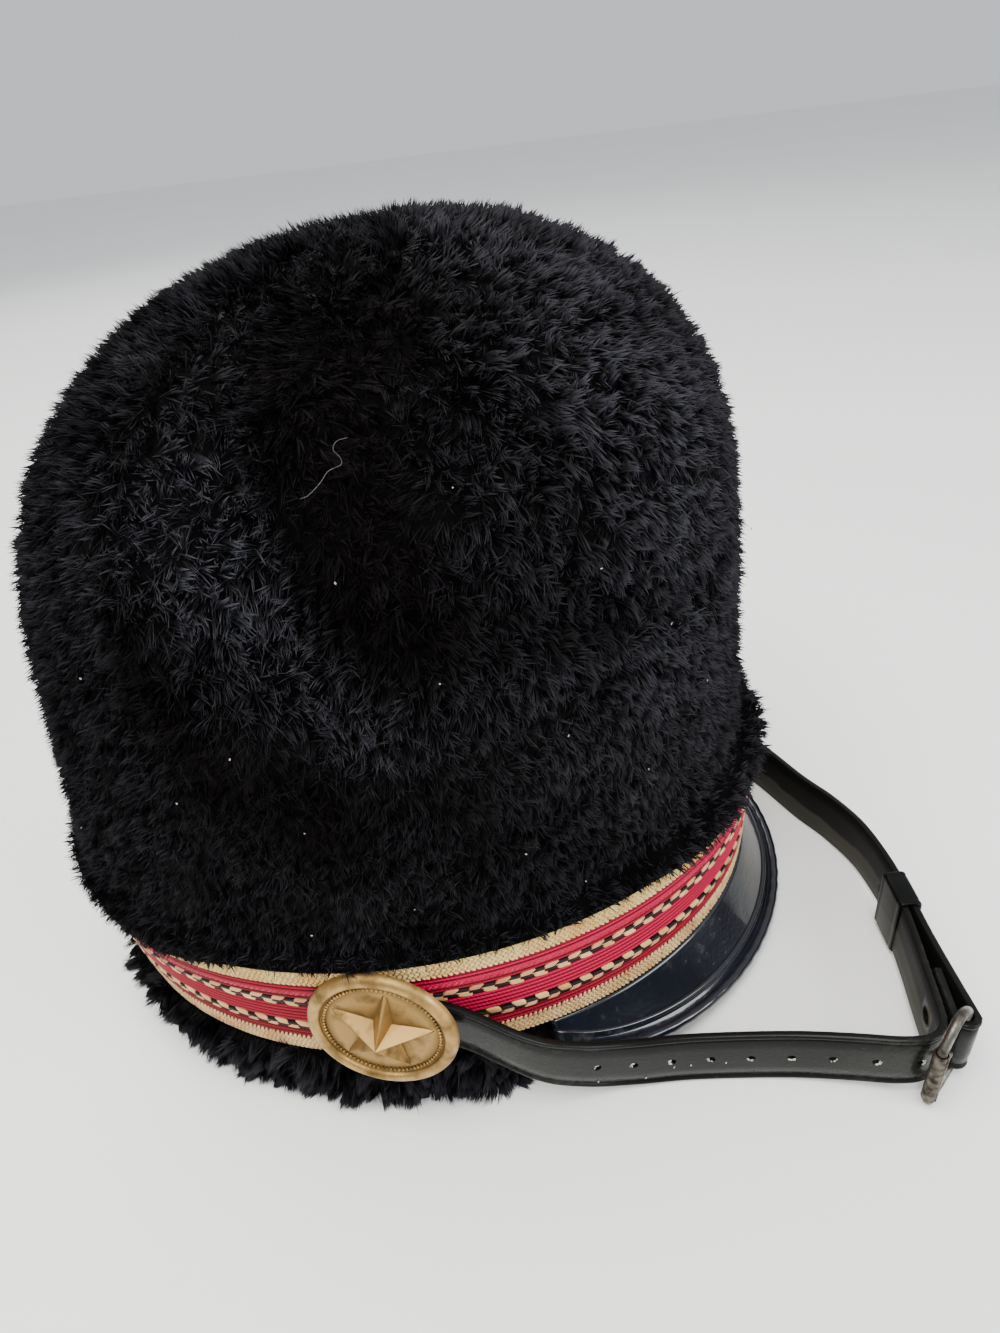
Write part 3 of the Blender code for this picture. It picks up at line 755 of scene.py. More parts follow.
def ribbon_outline(samples):
    outline = [(TRIM_BACK, RIBBON_LOW)]
    for i in range(samples + 1):
        height = RIBBON_LOW + (RIBBON_HIGH - RIBBON_LOW) * i / samples
        outline.append((RIBBON_FACE + rib_relief(height), height))
    outline.append((TRIM_BACK, RIBBON_HIGH))
    return outline


def new_group(name, inputs, outputs):
    """A shader group with named inputs and outputs, and its first and last nodes."""
    group = bpy.data.node_groups.new(name, "ShaderNodeTree")
    for label, kind, value in inputs:
        socket = group.interface.new_socket(name=label, in_out="INPUT", socket_type="NodeSocket" + kind)
        if value is not None:
            socket.default_value = value
    for label, kind in outputs:
        group.interface.new_socket(name=label, in_out="OUTPUT", socket_type="NodeSocket" + kind)
    return group, add(group, "NodeGroupInput").outputs, add(group, "NodeGroupOutput").inputs


def place_group(tree, group, inputs):
    return add(tree, "ShaderNodeGroup", inputs, node_tree=group).outputs


def spun_thread_group():
    """Slanting threads by two measures of a strip: their relief and how light each one is."""
    group, given, last = new_group(
        "spun_thread",
        [
            ("Along", "Float", 0.0),
            ("Across", "Float", 0.0),
            ("Pitch", "Float", 0.0008),
            ("Slant", "Float", 0.6),
        ],
        [("Relief", "Float"), ("Lightness", "Float")],
    )
    slid = number(group, "MULTIPLY", given["Across"], given["Slant"])
    counted = number(group, "DIVIDE", number(group, "ADD", given["Along"], slid), given["Pitch"])
    wave = number(group, "PINGPONG", counted, 0.5)
    group.links.new(number(group, "MULTIPLY", wave, 2.0), last["Relief"])
    whole = number(group, "FLOOR", counted, 0.0)
    chance = add(group, "ShaderNodeTexWhiteNoise", {"W": whole}, noise_dimensions="1D")
    group.links.new(chance.outputs["Value"], last["Lightness"])
    return group


spun_thread = spun_thread_group()


def thread_material(name, dark, light, pitch, metal=0.0, roughness=0.6):
    """Spun thread in two shades, with painted shade in the troughs of its twist."""
    made, tree, shader = finish_material(name, roughness, Metallic=metal, Specular_IOR_Level=0.25)
    place = add(tree, "ShaderNodeSeparateXYZ", {0: own_place(tree)}).outputs
    round_hat = number(tree, "ADD", place["X"], place["Y"])
    lie = {"Along": round_hat, "Across": place["Z"], "Pitch": pitch, "Slant": 1.3}
    twist = place_group(tree, spun_thread, lie)
    colour = ramp(tree, mottle(tree, 120.0, 5.0), [(0.32, dark), (0.62, light)])
    # Painted shade: the colour darkens to about six tenths in the twist's troughs.
    shade = ramp(tree, twist["Relief"], [(0.0, (0.62, 0.58, 0.52)), (0.6, (1.0, 1.0, 1.0))])
    tree.links.new(blend(tree, 1.0, colour, shade, "MULTIPLY"), shader.inputs["Base Color"])
    emboss(tree, shader, twist["Relief"], 0.6, 0.0002)
    return made


def crimson_material():
    """Crimson corded silk: bright between the float rows, faded beside them and duller and yellower round the
    back; its ribs carry painted shade in their grooves.
    """
    made, tree, shader = finish_material("crimson_silk", 0.5, Specular_IOR_Level=0.10)
    height = read_mark(tree, "height")
    lie = {"Along": read_mark(tree, "along"), "Across": height, "Pitch": 0.0011, "Slant": -0.9}
    twist = place_group(tree, spun_thread, lie)
    share = ranged(tree, height, RIBBON_LOW, RIBBON_HIGH)
    bright, faded = (0.50, 0.004, 0.050), (0.33, 0.009, 0.028)
    deep, black = (0.12, 0.001, 0.008), (0.014, 0.006, 0.005)
    zones = [
        (0.0, faded),
        (0.175, faded),
        (0.19, black),
        (0.285, black),
        (0.30, deep),
        (0.33, bright),
        (0.60, bright),
        (0.635, deep),
        (0.645, black),
        (0.725, black),
        (0.74, faded),
        (0.80, faded),
        (0.84, bright),
        (0.96, bright),
        (1.0, deep),
    ]
    ground = ramp(tree, share, zones)
    # Painted shade in the grooves between the ribs and under the floats, and painted light and shade along
    # the thread twist.
    painted_groove_shade = ramp(tree, read_mark(tree, "relief"), [(0.2, (0.10, 0.05, 0.07)), (0.8, (1.0, 1.0, 1.0))])
    lit = ramp(tree, twist["Relief"], [(0.0, (0.84, 0.80, 0.82)), (0.8, (1.05, 1.05, 1.05))])
    thread = blend(tree, 1.0, blend(tree, 1.0, ground, painted_groove_shade, "MULTIPLY"), lit, "MULTIPLY")
    length = number(tree, "DIVIDE", read_mark(tree, "along"), RIBBON_LENGTH)
    # The ribbon turns duller and yellower round its back half, from about 0.29 to 0.70 of its length.
    clean, back_tint = (1.0, 1.0, 1.0), (0.66, 0.85, 0.45)
    age = ramp(tree, length, [(0.23, clean), (0.29, back_tint), (0.70, back_tint), (0.77, clean)])
    tree.links.new(blend(tree, 1.0, thread, age, "MULTIPLY"), shader.inputs["Base Color"])
    emboss(tree, shader, twist["Relief"], 0.35, 0.0002)
    return made


ribbon_section = ribbon_outline(124)
ribbon = trim_loft("ribbon_crimson_silk", ribbon_section, RIBBON_STEPS)
relief_mark = ribbon.data.attributes.new("relief", "FLOAT", "POINT")
reliefs = [min((out - RIBBON_FACE) / RIB_DEPTH, 1.0) for out, _ in ribbon_section]
relief_mark.data.foreach_set("value", reliefs * RIBBON_STEPS)
ribbon.data.materials.append(crimson_material())
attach(ribbon, "root")
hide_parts("ribbon_crimson")


def oval_shape(name, sides, rings):
    """A small closed oval that stands for a stitch or a bead."""
    mesh = bpy.data.meshes.new(name)
    shape = bmesh.new()
    bmesh.ops.create_uvsphere(
        shape, u_segments=sides, v_segments=rings, radius=1.0, matrix=Matrix.Rotation(math.pi / 2, 4, "Y")
    )
    shape.to_mesh(mesh)
    shape.free()
    return stand(name, mesh)


def float_shape(name, lean):
    """A small closed block with worn edges and leaning ends, as one float shows on the ribbon."""
    mesh = bpy.data.meshes.new(name)
    block = bmesh.new()
    bmesh.ops.create_cube(block, size=2.0)
    bmesh.ops.bevel(block, geom=block.edges[:], offset=0.28, segments=1, profile=0.5, affect="EDGES")
    for vertex in block.verts:
        vertex.co.x += lean * vertex.co.y
    block.to_mesh(mesh)
    block.free()
    return stand(name, mesh)


def stitch_tree():
    """Sets a small shape at every point, turned along its thread and out from the face."""
    tree, given, last = new_tree(
        "stitches",
        [
            ("Stitch", "Object"),
            ("Length", "Float"),
            ("Width", "Float"),
            ("Thickness", "Float"),
            ("Unevenness", "Float"),
            ("Seed", "Int"),
            ("Material", "Material"),
        ],
    )
    shape = add(tree, "GeometryNodeObjectInfo", {"Object": given["Stitch"]}).outputs["Geometry"]
    faced = add(tree, "FunctionNodeAlignRotationToVector", {"Vector": kept(tree, "out")}, axis="Z")
    laid = add(
        tree,
        "FunctionNodeAlignRotationToVector",
        {"Rotation": faced.outputs[0], "Vector": kept(tree, "ahead")},
        axis="X",
        pivot_axis="Z",
    )
    slant = kept(tree, "slant", "FLOAT")
    turn = add(tree, "FunctionNodeAxisAngleToRotation", {"Axis": (0.0, 0.0, 1.0), "Angle": slant})
    slanted = add(
        tree,
        "FunctionNodeRotateRotation",
        {"Rotation": laid.outputs[0], "Rotate By": turn.outputs[0]},
        rotation_space="LOCAL",
    )
    size = add(
        tree,
        "ShaderNodeCombineXYZ",
        {0: given["Length"], 1: given["Width"], 2: given["Thickness"]},
    ).outputs[0]
    chance = random_way(tree, given["Seed"])
    uneven = vector(tree, "SCALE", chance, scale=given["Unevenness"])
    scaled = vector(tree, "MULTIPLY", size, vector(tree, "ADD", uneven, (1.0, 1.0, 1.0)))
    set_out = add(
        tree,
        "GeometryNodeInstanceOnPoints",
        {"Points": given["Geometry"], "Instance": shape, "Rotation": slanted.outputs[0], "Scale": scaled},
    )
    real = add(tree, "GeometryNodeRealizeInstances", {0: set_out.outputs[0]}).outputs[0]
    smooth = add(tree, "GeometryNodeSetShadeSmooth", {0: real}).outputs[0]
    done = add(tree, "GeometryNodeSetMaterial", {"Geometry": smooth, "Material": given["Material"]})
    tree.links.new(done.outputs[0], last)
    return tree


stitches = stitch_tree()


def stitch_spots(name, spots):
    """Loose points, each with the way its stitch runs, the way it faces and its slant."""
    mesh = bpy.data.meshes.new(name)
    mesh.from_pydata([place for place, _, _, _ in spots], [], [])
    for label, column in (("ahead", 1), ("out", 2)):
        way = mesh.attributes.new(label, "FLOAT_VECTOR", "POINT")
        way.data.foreach_set("vector", [value for spot in spots for value in spot[column]])
    slant = mesh.attributes.new("slant", "FLOAT", "POINT")
    slant.data.foreach_set("value", [spot[3] for spot in spots])
    return stand(name, mesh)


def sew(name, spots, shape, sizes, unevenness, seed, finish):
    """Stitches of half length, half width and half thickness at the spots, as one plain mesh."""
    ground = stitch_spots(name + "_spots", spots)
    length, width, thickness = sizes
    made = grow(
        name,
        ground,
        stitches,
        {
            "Stitch": shape,
            "Length": length,
            "Width": width,
            "Thickness": thickness,
            "Unevenness": unevenness,
            "Seed": seed,
            "Material": finish,
        },
    )
    drop(ground)
    for label in ("ahead", "slant"):
        if label in made.data.attributes:
            made.data.attributes.remove(made.data.attributes[label])
    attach(made, "root")
    return made


def band_walk(count, height):
    """Angles at equal lengths along the band, two for each of the count."""
    fine = 1440
    walked = [0.0]
    for i in range(fine):
        here = band_point(360.0 * i / fine, height)
        there = band_point(360.0 * (i + 1) / fine, height)
        walked.append(walked[-1] + (there - here).length)
    spot = 0
    angles = []
    for step in range(count * 2):
        while walked[spot] < walked[-1] * step / (count * 2):
            spot += 1
        angles.append(360.0 * spot / fine)
    return angles


def band_spot(angle, height, proud, slant):
    """A stitch's place on the band, with its direction, its outward side and its slant."""
    ahead = (band_point(angle + 0.5, height) - band_point(angle - 0.5, height)).normalized()
    return leaned(band_point(angle, height, proud)), ahead, band_outward(angle), slant


half_steps = band_walk(FLOAT_COUNT, 0.04)
pale_thread = thread_material("pale_thread", (0.58, 0.25, 0.13), (0.92, 0.50, 0.27), 0.0006, roughness=0.75)
gold_thread = thread_material("gold_thread", (0.70, 0.36, 0.12), (1.0, 0.66, 0.30), 0.0006, 0.10, 0.6)
black_thread = thread_material("black_thread", (0.006, 0.004, 0.004), (0.020, 0.014, 0.012), 0.0006)

# Name, finish, half length, half width, lean of the ends; then row, which half step, and how far above it.
FLOAT_SORTS = [
    ("floats_gold", gold_thread, 0.00176, 0.00105, -0.34),
    ("floats_pale", pale_thread, 0.00164, 0.00082, 0.44),
    ("floats_black", black_thread, 0.00200, 0.00048, 0.30),
]
FLOAT_PLACES = [
    [(FLOAT_ROW_HIGH, 0, -0.0008), (FLOAT_ROW_LOW, 0, 0.0010)],
    [(FLOAT_ROW_HIGH, 1, 0.0011), (FLOAT_ROW_LOW, 1, -0.0009)],
    [
        (FLOAT_ROW_HIGH, 1, -0.0004),
        (FLOAT_ROW_LOW, 1, 0.0005),
        (FLOAT_ROW_HIGH, 0, 0.0007),
        (FLOAT_ROW_LOW, 0, -0.0005),
    ],
]
for (name, finish, half_length, half_width, lean), rows in zip(FLOAT_SORTS, FLOAT_PLACES):
    spots = []
    for middle, shift, above in rows:
        for angle in half_steps[shift::2]:
            spots.append(band_spot(angle, middle + above, FLOAT_OUT, -0.04))
    block = float_shape(name + "_shape", lean)
    made = sew(name, spots, block, (half_length, half_width, 0.00042), 0.05, 5, finish)
    drop(block)

cord_out = RIBBON_FACE + RIB_DEPTH
spots = [band_spot(a, STITCHED_CORD, cord_out, 0.75) for a in band_walk(190, STITCHED_CORD)]
rose = thread_material("rose_thread", (0.44, 0.006, 0.050), (0.72, 0.045, 0.130), 0.0006, roughness=0.6)
cord = oval_shape("cord", 4, 4)
sew("cord_stitches", spots, cord, (0.00105, 0.00038, 0.00030), 0.10, 7, rose)
drop(cord)

# The knitted braids are narrow tapes of gilt thread: slanting loops in close rows over a woven back,
# with a bright looped edge on the lower one.
LOOP_LENGTH = 0.00118
gilt_upper = thread_material("gilt_upper", (0.82, 0.47, 0.15), (1.0, 0.76, 0.34), 0.0005, 0.10, 0.5)
gilt_lower = thread_material("gilt_lower", (0.70, 0.41, 0.16), (1.0, 0.69, 0.34), 0.0005, 0.10, 0.5)
gilt_back = thread_material("gilt_back", (0.40, 0.23, 0.08), (0.60, 0.40, 0.16), 0.0007, roughness=0.8)
loop = oval_shape("loop", 4, 4)

BRAIDS = [
    ("braid_upper", gilt_upper, RIBBON_HIGH, BAND_TOP, 6, 0.00052),
    ("braid_lower", gilt_lower, BAND_LOW, RIBBON_LOW, 5, 0.00036),
]
for name, finish, low, high, rows, thickness in BRAIDS:
    section = [(TRIM_BACK, low + 0.0001), (-0.0004, low + 0.0001), (-0.0003, (low + high) / 2)]
    section += [(-0.0004, high - 0.0001), (TRIM_BACK, high - 0.0001)]
    back = trim_loft(name + "_tape", section, 240)
    back.data.materials.append(gilt_back)
    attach(back, "root")
    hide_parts(name)
    spots = []
    for row in range(rows):
        height = low + (high - low) * (row + 0.5) / rows
        slant = 0.62 if row % 2 else -0.62
        for angle in band_walk(225, height):
            spots.append(band_spot(angle + 0.3 * (row % 2), height, -0.0002, slant))
    half_width = 0.52 * (high - low) / rows
    loop_size = (LOOP_LENGTH * 0.72, half_width, thickness)
    made = sew(name + "_loops", spots, loop, loop_size, 0.09, 3 + rows, finish)

picot = []
for angle in band_walk(230, RIBBON_LOW):
    picot.append(band_spot(angle, RIBBON_LOW + 0.0008, -0.0001, 1.15))
bright = thread_material("gilt_bright", (0.72, 0.44, 0.22), (1.0, 0.74, 0.42), 0.0005, 0.15, 0.5)
sew("braid_lower_picot", picot, loop, (0.00085, 0.00050, 0.00045), 0.12, 9, bright)

# The peak is stiff leather with a thick black patent face, let in under the band's front and bent down.
# A rolled leather piping is sewn along its rim, with a folded lip that lies on the face.
PEAK_HALF_ANGLE = 70.0
PEAK_REACH = 0.0092
PEAK_SIDE_REACH = 0.0004
PEAK_THICKNESS = 0.002
PEAK_RIM_HEIGHT = 0.0045
PEAK_END_RISE = 0.0105
PEAK_CURL = 0.25
PIPING_RADIUS = 0.0017
PIPING_GAP = 0.0003
LIP_WIDTH = 0.0036
PEAK_STEPS = 140


def peak_point(angle, share, depth=0.0):
    """A point of the peak, from under the band at 0 to its rim at 1."""
    top = UNDER_BAND
    side = abs(angle) / PEAK_HALF_ANGLE
    rim_reach = PEAK_SIDE_REACH + (PEAK_REACH - PEAK_SIDE_REACH) * math.sqrt(max(1 - side**5, 0))
    height = top + (PEAK_RIM_HEIGHT + PEAK_END_RISE * side**4 - top) * share
    reach = rim_reach * share * (1.0 - PEAK_CURL + PEAK_CURL * share)
    out = TRIM_BACK + PEAK_THICKNESS + reach - BAND_FLARE * (height - BAND_LOW) - depth
    return leaned(band_point(angle, height, out))


def peak_angles(steps):
    return [PEAK_HALF_ANGLE * (2.0 * i / steps - 1.0) for i in range(steps + 1)]


def worn_leather_group():
    """Fine grain, soft dents and scuffs of lacquered leather."""
    group, given, last = new_group(
        "worn_leather",
        [("Place", "Vector", None), ("Grain", "Float", 700.0), ("Scuffing", "Float", 0.5)],
        [("Relief", "Float"), ("Scuffs", "Float"), ("Cloud", "Float")],
    )
    cells = add(group, "ShaderNodeTexVoronoi", {"Vector": given["Place"], "Scale": given["Grain"]})
    dents = add(group, "ShaderNodeTexNoise", {"Vector": given["Place"], "Scale": 55.0, "Detail": 2.0})
    cloud = add(group, "ShaderNodeTexNoise", {"Vector": given["Place"], "Scale": 26.0, "Detail": 4.0})
    fine = add(group, "ShaderNodeTexNoise", {"Vector": given["Place"], "Scale": 420.0, "Detail": 3.0})
    relief = number(group, "MULTIPLY_ADD", cells.outputs[0], 0.12, dents.outputs[0])
    group.links.new(relief, last["Relief"])
    marks = number(group, "MULTIPLY", cloud.outputs[0], fine.outputs[0])
    group.links.new(ranged(group, marks, 0.30, 0.42, 0.0, given["Scuffing"]), last["Scuffs"])
    group.links.new(cloud.outputs[0], last["Cloud"])
    return group


worn_leather = worn_leather_group()


def patent_material(name, dark, light, scuffing, roughness):
    """Black patent leather: a deep lacquer over grain, with clouded and scuffed places."""
    made, tree, shader = finish_material(name, roughness, Coat_Roughness=0.07, Specular_IOR_Level=0.3)
    wear = place_group(tree, worn_leather, {"Place": own_place(tree), "Scuffing": scuffing})
    colour = ramp(tree, wear["Cloud"], [(0.35, dark), (0.70, light)])
    worn = blend(tree, wear["Scuffs"], colour, (0.060, 0.058, 0.055))
    tree.links.new(worn, shader.inputs["Base Color"])
    rough = ranged(tree, wear["Scuffs"], first=roughness, last=0.55)
    tree.links.new(rough, shader.inputs["Roughness"])
    gloss = ranged(tree, wear["Scuffs"], first=0.7, last=0.1)
    tree.links.new(gloss, shader.inputs["Coat Weight"])
    emboss(tree, shader, wear["Relief"], 0.35, 0.0006)
    return made


patent = patent_material("patent_black", (0.003, 0.0035, 0.006), (0.010, 0.012, 0.020), 0.35, 0.22)
outer_shares = [i / 18 for i in range(19)]
rings = []
for angle in peak_angles(PEAK_STEPS):
    ring = [peak_point(angle, share) for share in outer_shares]
    ring.append(peak_point(angle, 1.015, PEAK_THICKNESS / 2))
    ring.extend(peak_point(angle, share, PEAK_THICKNESS) for share in reversed(outer_shares))
    rings.append(ring)
peak = loft("peak_patent", rings, capped=True)
peak.data.materials.append(patent)
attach(peak, "root")
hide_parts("peak")

rings = []
for angle in peak_angles(PEAK_STEPS):
    out = band_outward(angle)
    middle = peak_point(angle, 1.0, PEAK_THICKNESS / 2)
    middle += out * (PEAK_THICKNESS / 2 + PIPING_RADIUS + PIPING_GAP)
    middle.z = max(middle.z - PEAK_THICKNESS / 2, PIPING_RADIUS + PIPING_GAP)
    ring = []
    for i in range(20):
        turn = 2 * math.pi * i / 20
        swell = 1.0 + 0.05 * math.sin(angle * 1.7) + 0.03 * math.sin(angle * 4.3 + turn)
        up = Vector((0.0, 0.0, math.sin(turn)))
        ring.append(middle + (out * math.cos(turn) + up) * PIPING_RADIUS * swell)
    rings.append(ring)
piping = loft("peak_piping", rings, capped=True)
piping.data.materials.append(patent)
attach(piping, "root")
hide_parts("peak_binding")

# Share of the lip's width in from the rim, and depth below the peak's face.
LIP_SECTION = [(0.0, 0.0004), (0.0, -0.0009), (0.15, -0.0011), (0.35, -0.0005)]
LIP_SECTION += [(0.6, -0.0005), (0.8, -0.0010), (0.95, -0.0008), (1.0, 0.0004)]
rings = []
for angle in peak_angles(PEAK_STEPS):
    span = (peak_point(angle, 1.0) - peak_point(angle, 0.0)).length
    share_wide = min(LIP_WIDTH / span, 0.5)
    rings.append([peak_point(angle, 1.0 - share * share_wide, depth) for share, depth in LIP_SECTION])
lip = loft("peak_lip", rings, capped=True)
lip.data.materials.append(patent)
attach(lip, "root")

# The buttons are bosses pressed from sheet brass and fixed through the band on both sides, over the
# strap's ends: a rolled rim, a ring of beads, a sunk field and a ridged five-pointed star.
BUTTON_RADIUS = 0.0203
BUTTON_ANGLE = 92.4
BUTTON_HEIGHT = 0.0415
BUTTON_TILT = 0.072
BUTTON_SKEW = 9.5
STAR_TURN = math.radians(12.0)
BUTTON_STAND = 0.0044
BUTTON_FIELD = 0.0010
BUTTON_RIM = 0.0037
BUTTON_CROWN = 0.0024
STAR_RADIUS = 0.0151
STAR_NOTCH = 0.0041
STAR_RISE = 0.0064
BUTTON_SIDES = 160
BEAD_COUNT = 84


def star_radius(turn):
    """Distance from a five-pointed star's middle to its outline."""
    sector = math.pi / 5
    inside = abs((turn + sector) % (2 * sector) - sector)
    notch = Vector((math.cos(sector), math.sin(sector))) * STAR_NOTCH
    edge = notch - Vector((STAR_RADIUS, 0.0))
    return STAR_RADIUS * edge.y / (math.cos(inside) * edge.y - math.sin(inside) * edge.x)


def round_ways(first, second, count):
    """Directions at equal turns from the first over the second and all the way round."""
    turns = [2 * math.pi * i / count for i in range(count)]
    return [first * math.cos(turn) + second * math.sin(turn) for turn in turns]


def button_frame(side):
    """The button's middle on the strap, the way it faces, and its upright and level directions."""
    angle = BUTTON_ANGLE * side
    facing = (band_outward(angle + BUTTON_SKEW * side) + Vector((0.0, 0.0, BUTTON_TILT))).normalized()
    level = Vector((0.0, 0.0, 1.0)).cross(facing).normalized()
    seat = leaned(band_point(angle, BUTTON_HEIGHT)) + facing * BUTTON_STAND
    return seat, facing, facing.cross(level), level


def button_profile(turn):
    """Radius, height and hollowness from the star's middle out to the rim and round its back."""
    star = star_radius(turn - STAR_TURN)
    inner_rim = BUTTON_RADIUS - BUTTON_RIM
    rows = []
    for share in (0.02, 0.25, 0.5, 0.75, 0.92, 1.0):
        rows.append((star * share, BUTTON_FIELD + STAR_RISE * (1.0 - share) ** 0.92, 0.5))
    rows.append((star + 0.0003, BUTTON_FIELD - 0.0001, 1.0))
    for share, hollow in ((0.4, 0.5), (0.8, 0.4)):
        rows.append((star + (inner_rim - 0.0019 - star) * share, BUTTON_FIELD + 0.0001, hollow))
    rows.append((inner_rim - 0.0017, BUTTON_FIELD - 0.0001, 1.0))
    rows.append((inner_rim - 0.0002, BUTTON_FIELD - 0.0002, 1.0))
    for i in range(11):
        left = 1.0 - i / 10
        bend = math.pi * left
        radius = inner_rim + BUTTON_RIM / 2 + BUTTON_RIM / 2 * math.cos(bend)
        rise = BUTTON_FIELD * left + (BUTTON_CROWN - BUTTON_FIELD / 2) * math.sin(bend)
        rows.append((radius, rise, 0.0))
    rows.append((BUTTON_RADIUS * 0.93, 0.0, 1.0))
    rows.append((BUTTON_RADIUS * 0.3, 0.0, 1.0))
    return rows


def tarnish_group():
    """Dulled and darkened metal: clouds, small pits, and dirt in the hollows."""
    group, given, last = new_group(
        "tarnish",
        [("Place", "Vector", None), ("Hollow", "Float", 0.0), ("Scale", "Float", 90.0)],
        [("Amount", "Float"), ("Relief", "Float")],
    )
    place = given["Place"]
    cloud = add(group, "ShaderNodeTexNoise", {"Vector": place, "Scale": given["Scale"], "Detail": 6.0})
    pits = add(group, "ShaderNodeTexNoise", {"Vector": place, "Scale": 1400.0, "Detail": 3.0})
    dirt = number(group, "MULTIPLY", given["Hollow"], 0.85)
    amount = number(group, "MAXIMUM", ranged(group, cloud.outputs[0], 0.40, 0.68), dirt)
    specks = number(group, "MULTIPLY", ranged(group, pits.outputs[0], 0.62, 0.70), 0.5)
    group.links.new(number(group, "MAXIMUM", amount, specks), last["Amount"])
    group.links.new(number(group, "ADD", pits.outputs[0], cloud.outputs[0]), last["Relief"])
    return group


tarnish = tarnish_group()


def metal_material(name, clean, dulled, scale, smooth, rough):
    """Old metal whose clean and dulled places differ in colour and gloss."""
    made, tree, shader = finish_material(name, smooth, Metallic=1.0)
    lie = {"Place": own_place(tree), "Hollow": read_mark(tree, "hollow"), "Scale": scale}
    age = place_group(tree, tarnish, lie)
    tree.links.new(blend(tree, age["Amount"], clean, dulled), shader.inputs["Base Color"])
    gloss = ranged(tree, age["Amount"], first=smooth, last=rough)
    tree.links.new(gloss, shader.inputs["Roughness"])
    emboss(tree, shader, age["Relief"], 0.25, 0.0002)
    return made


brass = metal_material("old_brass", (0.45, 0.280, 0.100), (0.165, 0.098, 0.031), 170.0, 0.42, 0.62)
beads = oval_shape("bead", 8, 6)
for name, side in (("button_right", 1), ("button_left", -1)):
    seat, facing, up, level = button_frame(side)
    rings, hollows = [], []
    for i, flat in enumerate(round_ways(up, level, BUTTON_SIDES)):
        profile = button_profile(2 * math.pi * i / BUTTON_SIDES)
        rings.append([seat + flat * radius + facing * rise for radius, rise, _ in profile])
        hollows.append([hollow for _, _, hollow in profile])
    circles = [list(row) for row in zip(*rings)]
    boss = loft(name + "_boss", circles, capped=True, marks={"hollow": list(zip(*hollows))})
    boss.data.set_sharp_from_angle(angle=math.radians(32.0))
    boss.data.materials.append(brass)
    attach(boss, "root")
    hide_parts(name)
    ring_radius = BUTTON_RADIUS - BUTTON_RIM - 0.0010
    spots = []
    for flat in round_ways(up, level, BEAD_COUNT):
        spots.append((seat + flat * ring_radius + facing * (BUTTON_FIELD + 0.0002), flat, facing, 0.0))
    sew(name + "_beads", spots, beads, (0.00050, 0.00036, 0.00042), 0.12, 17, brass)
drop(beads)

# The chin strap is two lengths of black leather with a lacquered face and a matt olive back. Each is
# held behind a button; they meet at the buckle, and the holed one runs on through the keeper.
STRAP_WIDTH = 0.020
STRAP_THICKNESS = 0.002
HOLE_RADIUS = 0.00115
HOLE_PITCH = 0.0109
HOLE_COUNT = 9
FIRST_HOLE = 0.0702
TAIL_HOLE_RADIUS = 0.0024
STRAP_STARTS = [(5.0, 0.0, 0.0), (-2.0, 0.08, 0.0), (-9.0, 0.34, 0.6)]

# Stops of the strap's route: ahead of, left of and above the hat's middle, on the surface it lies on.
NEAR_ROUTE = [
    (0.0310, -0.0955, 0.0245),
    (0.0440, -0.0935, 0.0165),
    (0.0580, -0.0912, 0.0120),
    (0.0760, -0.0900, 0.0104),
    (0.1000, -0.0915, 0.0108),
    (0.1160, -0.0945, 0.0125),
    (0.1280, -0.0972, 0.0138),
    (0.1355, -0.0970, 0.0140),
    (0.1395, -0.0932, 0.0140),
    (0.1408, -0.0870, 0.0140),
    (0.1422, -0.0770, 0.0138),
    (0.1442, -0.0640, 0.0132),
    (0.1458, -0.0500, 0.0126),
    (0.1460, -0.0380, 0.0121),
]
FAR_ROUTE = [
    (0.0340, 0.0985, 0.0215),
    (0.0570, 0.0945, 0.0130),
    (0.0800, 0.0840, 0.0106),
    (0.1000, 0.0680, 0.0102),
    (0.1120, 0.0530, 0.0102),
    (0.1195, 0.0400, 0.0102),
    (0.1270, 0.0255, 0.0102),
    (0.1345, 0.0095, 0.0102),
    (0.1415, -0.0030, 0.0104),
    (0.1465, -0.0170, 0.0110),
    (0.1484, -0.0340, 0.0120),
    (0.1486, -0.0500, 0.0126),
    (0.1482, -0.0650, 0.0132),
    (0.1483, -0.0800, 0.0138),
]
BAR = HAT_MIDDLE + put(0.1461, -0.0920, 0.0140)
ROLLER = HAT_MIDDLE + put(0.1352, -0.1022, 0.0140)
FOLDED_END = HAT_MIDDLE + put(0.1453, -0.0770, 0.0137)
WIRE_RADIUS = 0.0013
ROUTE_STEP = 0.0022
SEAT_GAP = 0.0006
TAIL_ROUNDING = 0.009
TAIL_HOLE = HAT_MIDDLE + put(0.1411, -0.0852, 0.0140)

# Half of the face's section, out and up from the strap's middle: a rolled edge, then two pressed lines.
FACE_HALF = [
    (0.00070, 0.01000),
    (0.00100, 0.00965),
    (0.00112, 0.00920),
    (0.00098, 0.00875),
    (0.00052, 0.00840),
    (0.00088, 0.00800),
    (0.00066, 0.00770),
    (0.00088, 0.00730),
    (0.00098, 0.00400),
]
BACK_HALF = [(-0.00070, 0.01000, 0.6), (-0.00100, 0.00970, 1.0), (-0.00100, 0.00500, 1.0)]

# The whole section, from the face's lower edge up and down the back, with how much each point is the back.
STRAP_SECTION = [(out, -up, 0.0) for out, up in FACE_HALF] + [(0.00100, 0.0, 0.0)]
STRAP_SECTION += [(out, up, 0.0) for out, up in reversed(FACE_HALF)] + BACK_HALF
STRAP_SECTION += [(-0.00100, 0.0, 1.0)] + [(out, -up, back) for out, up, back in reversed(BACK_HALF)]


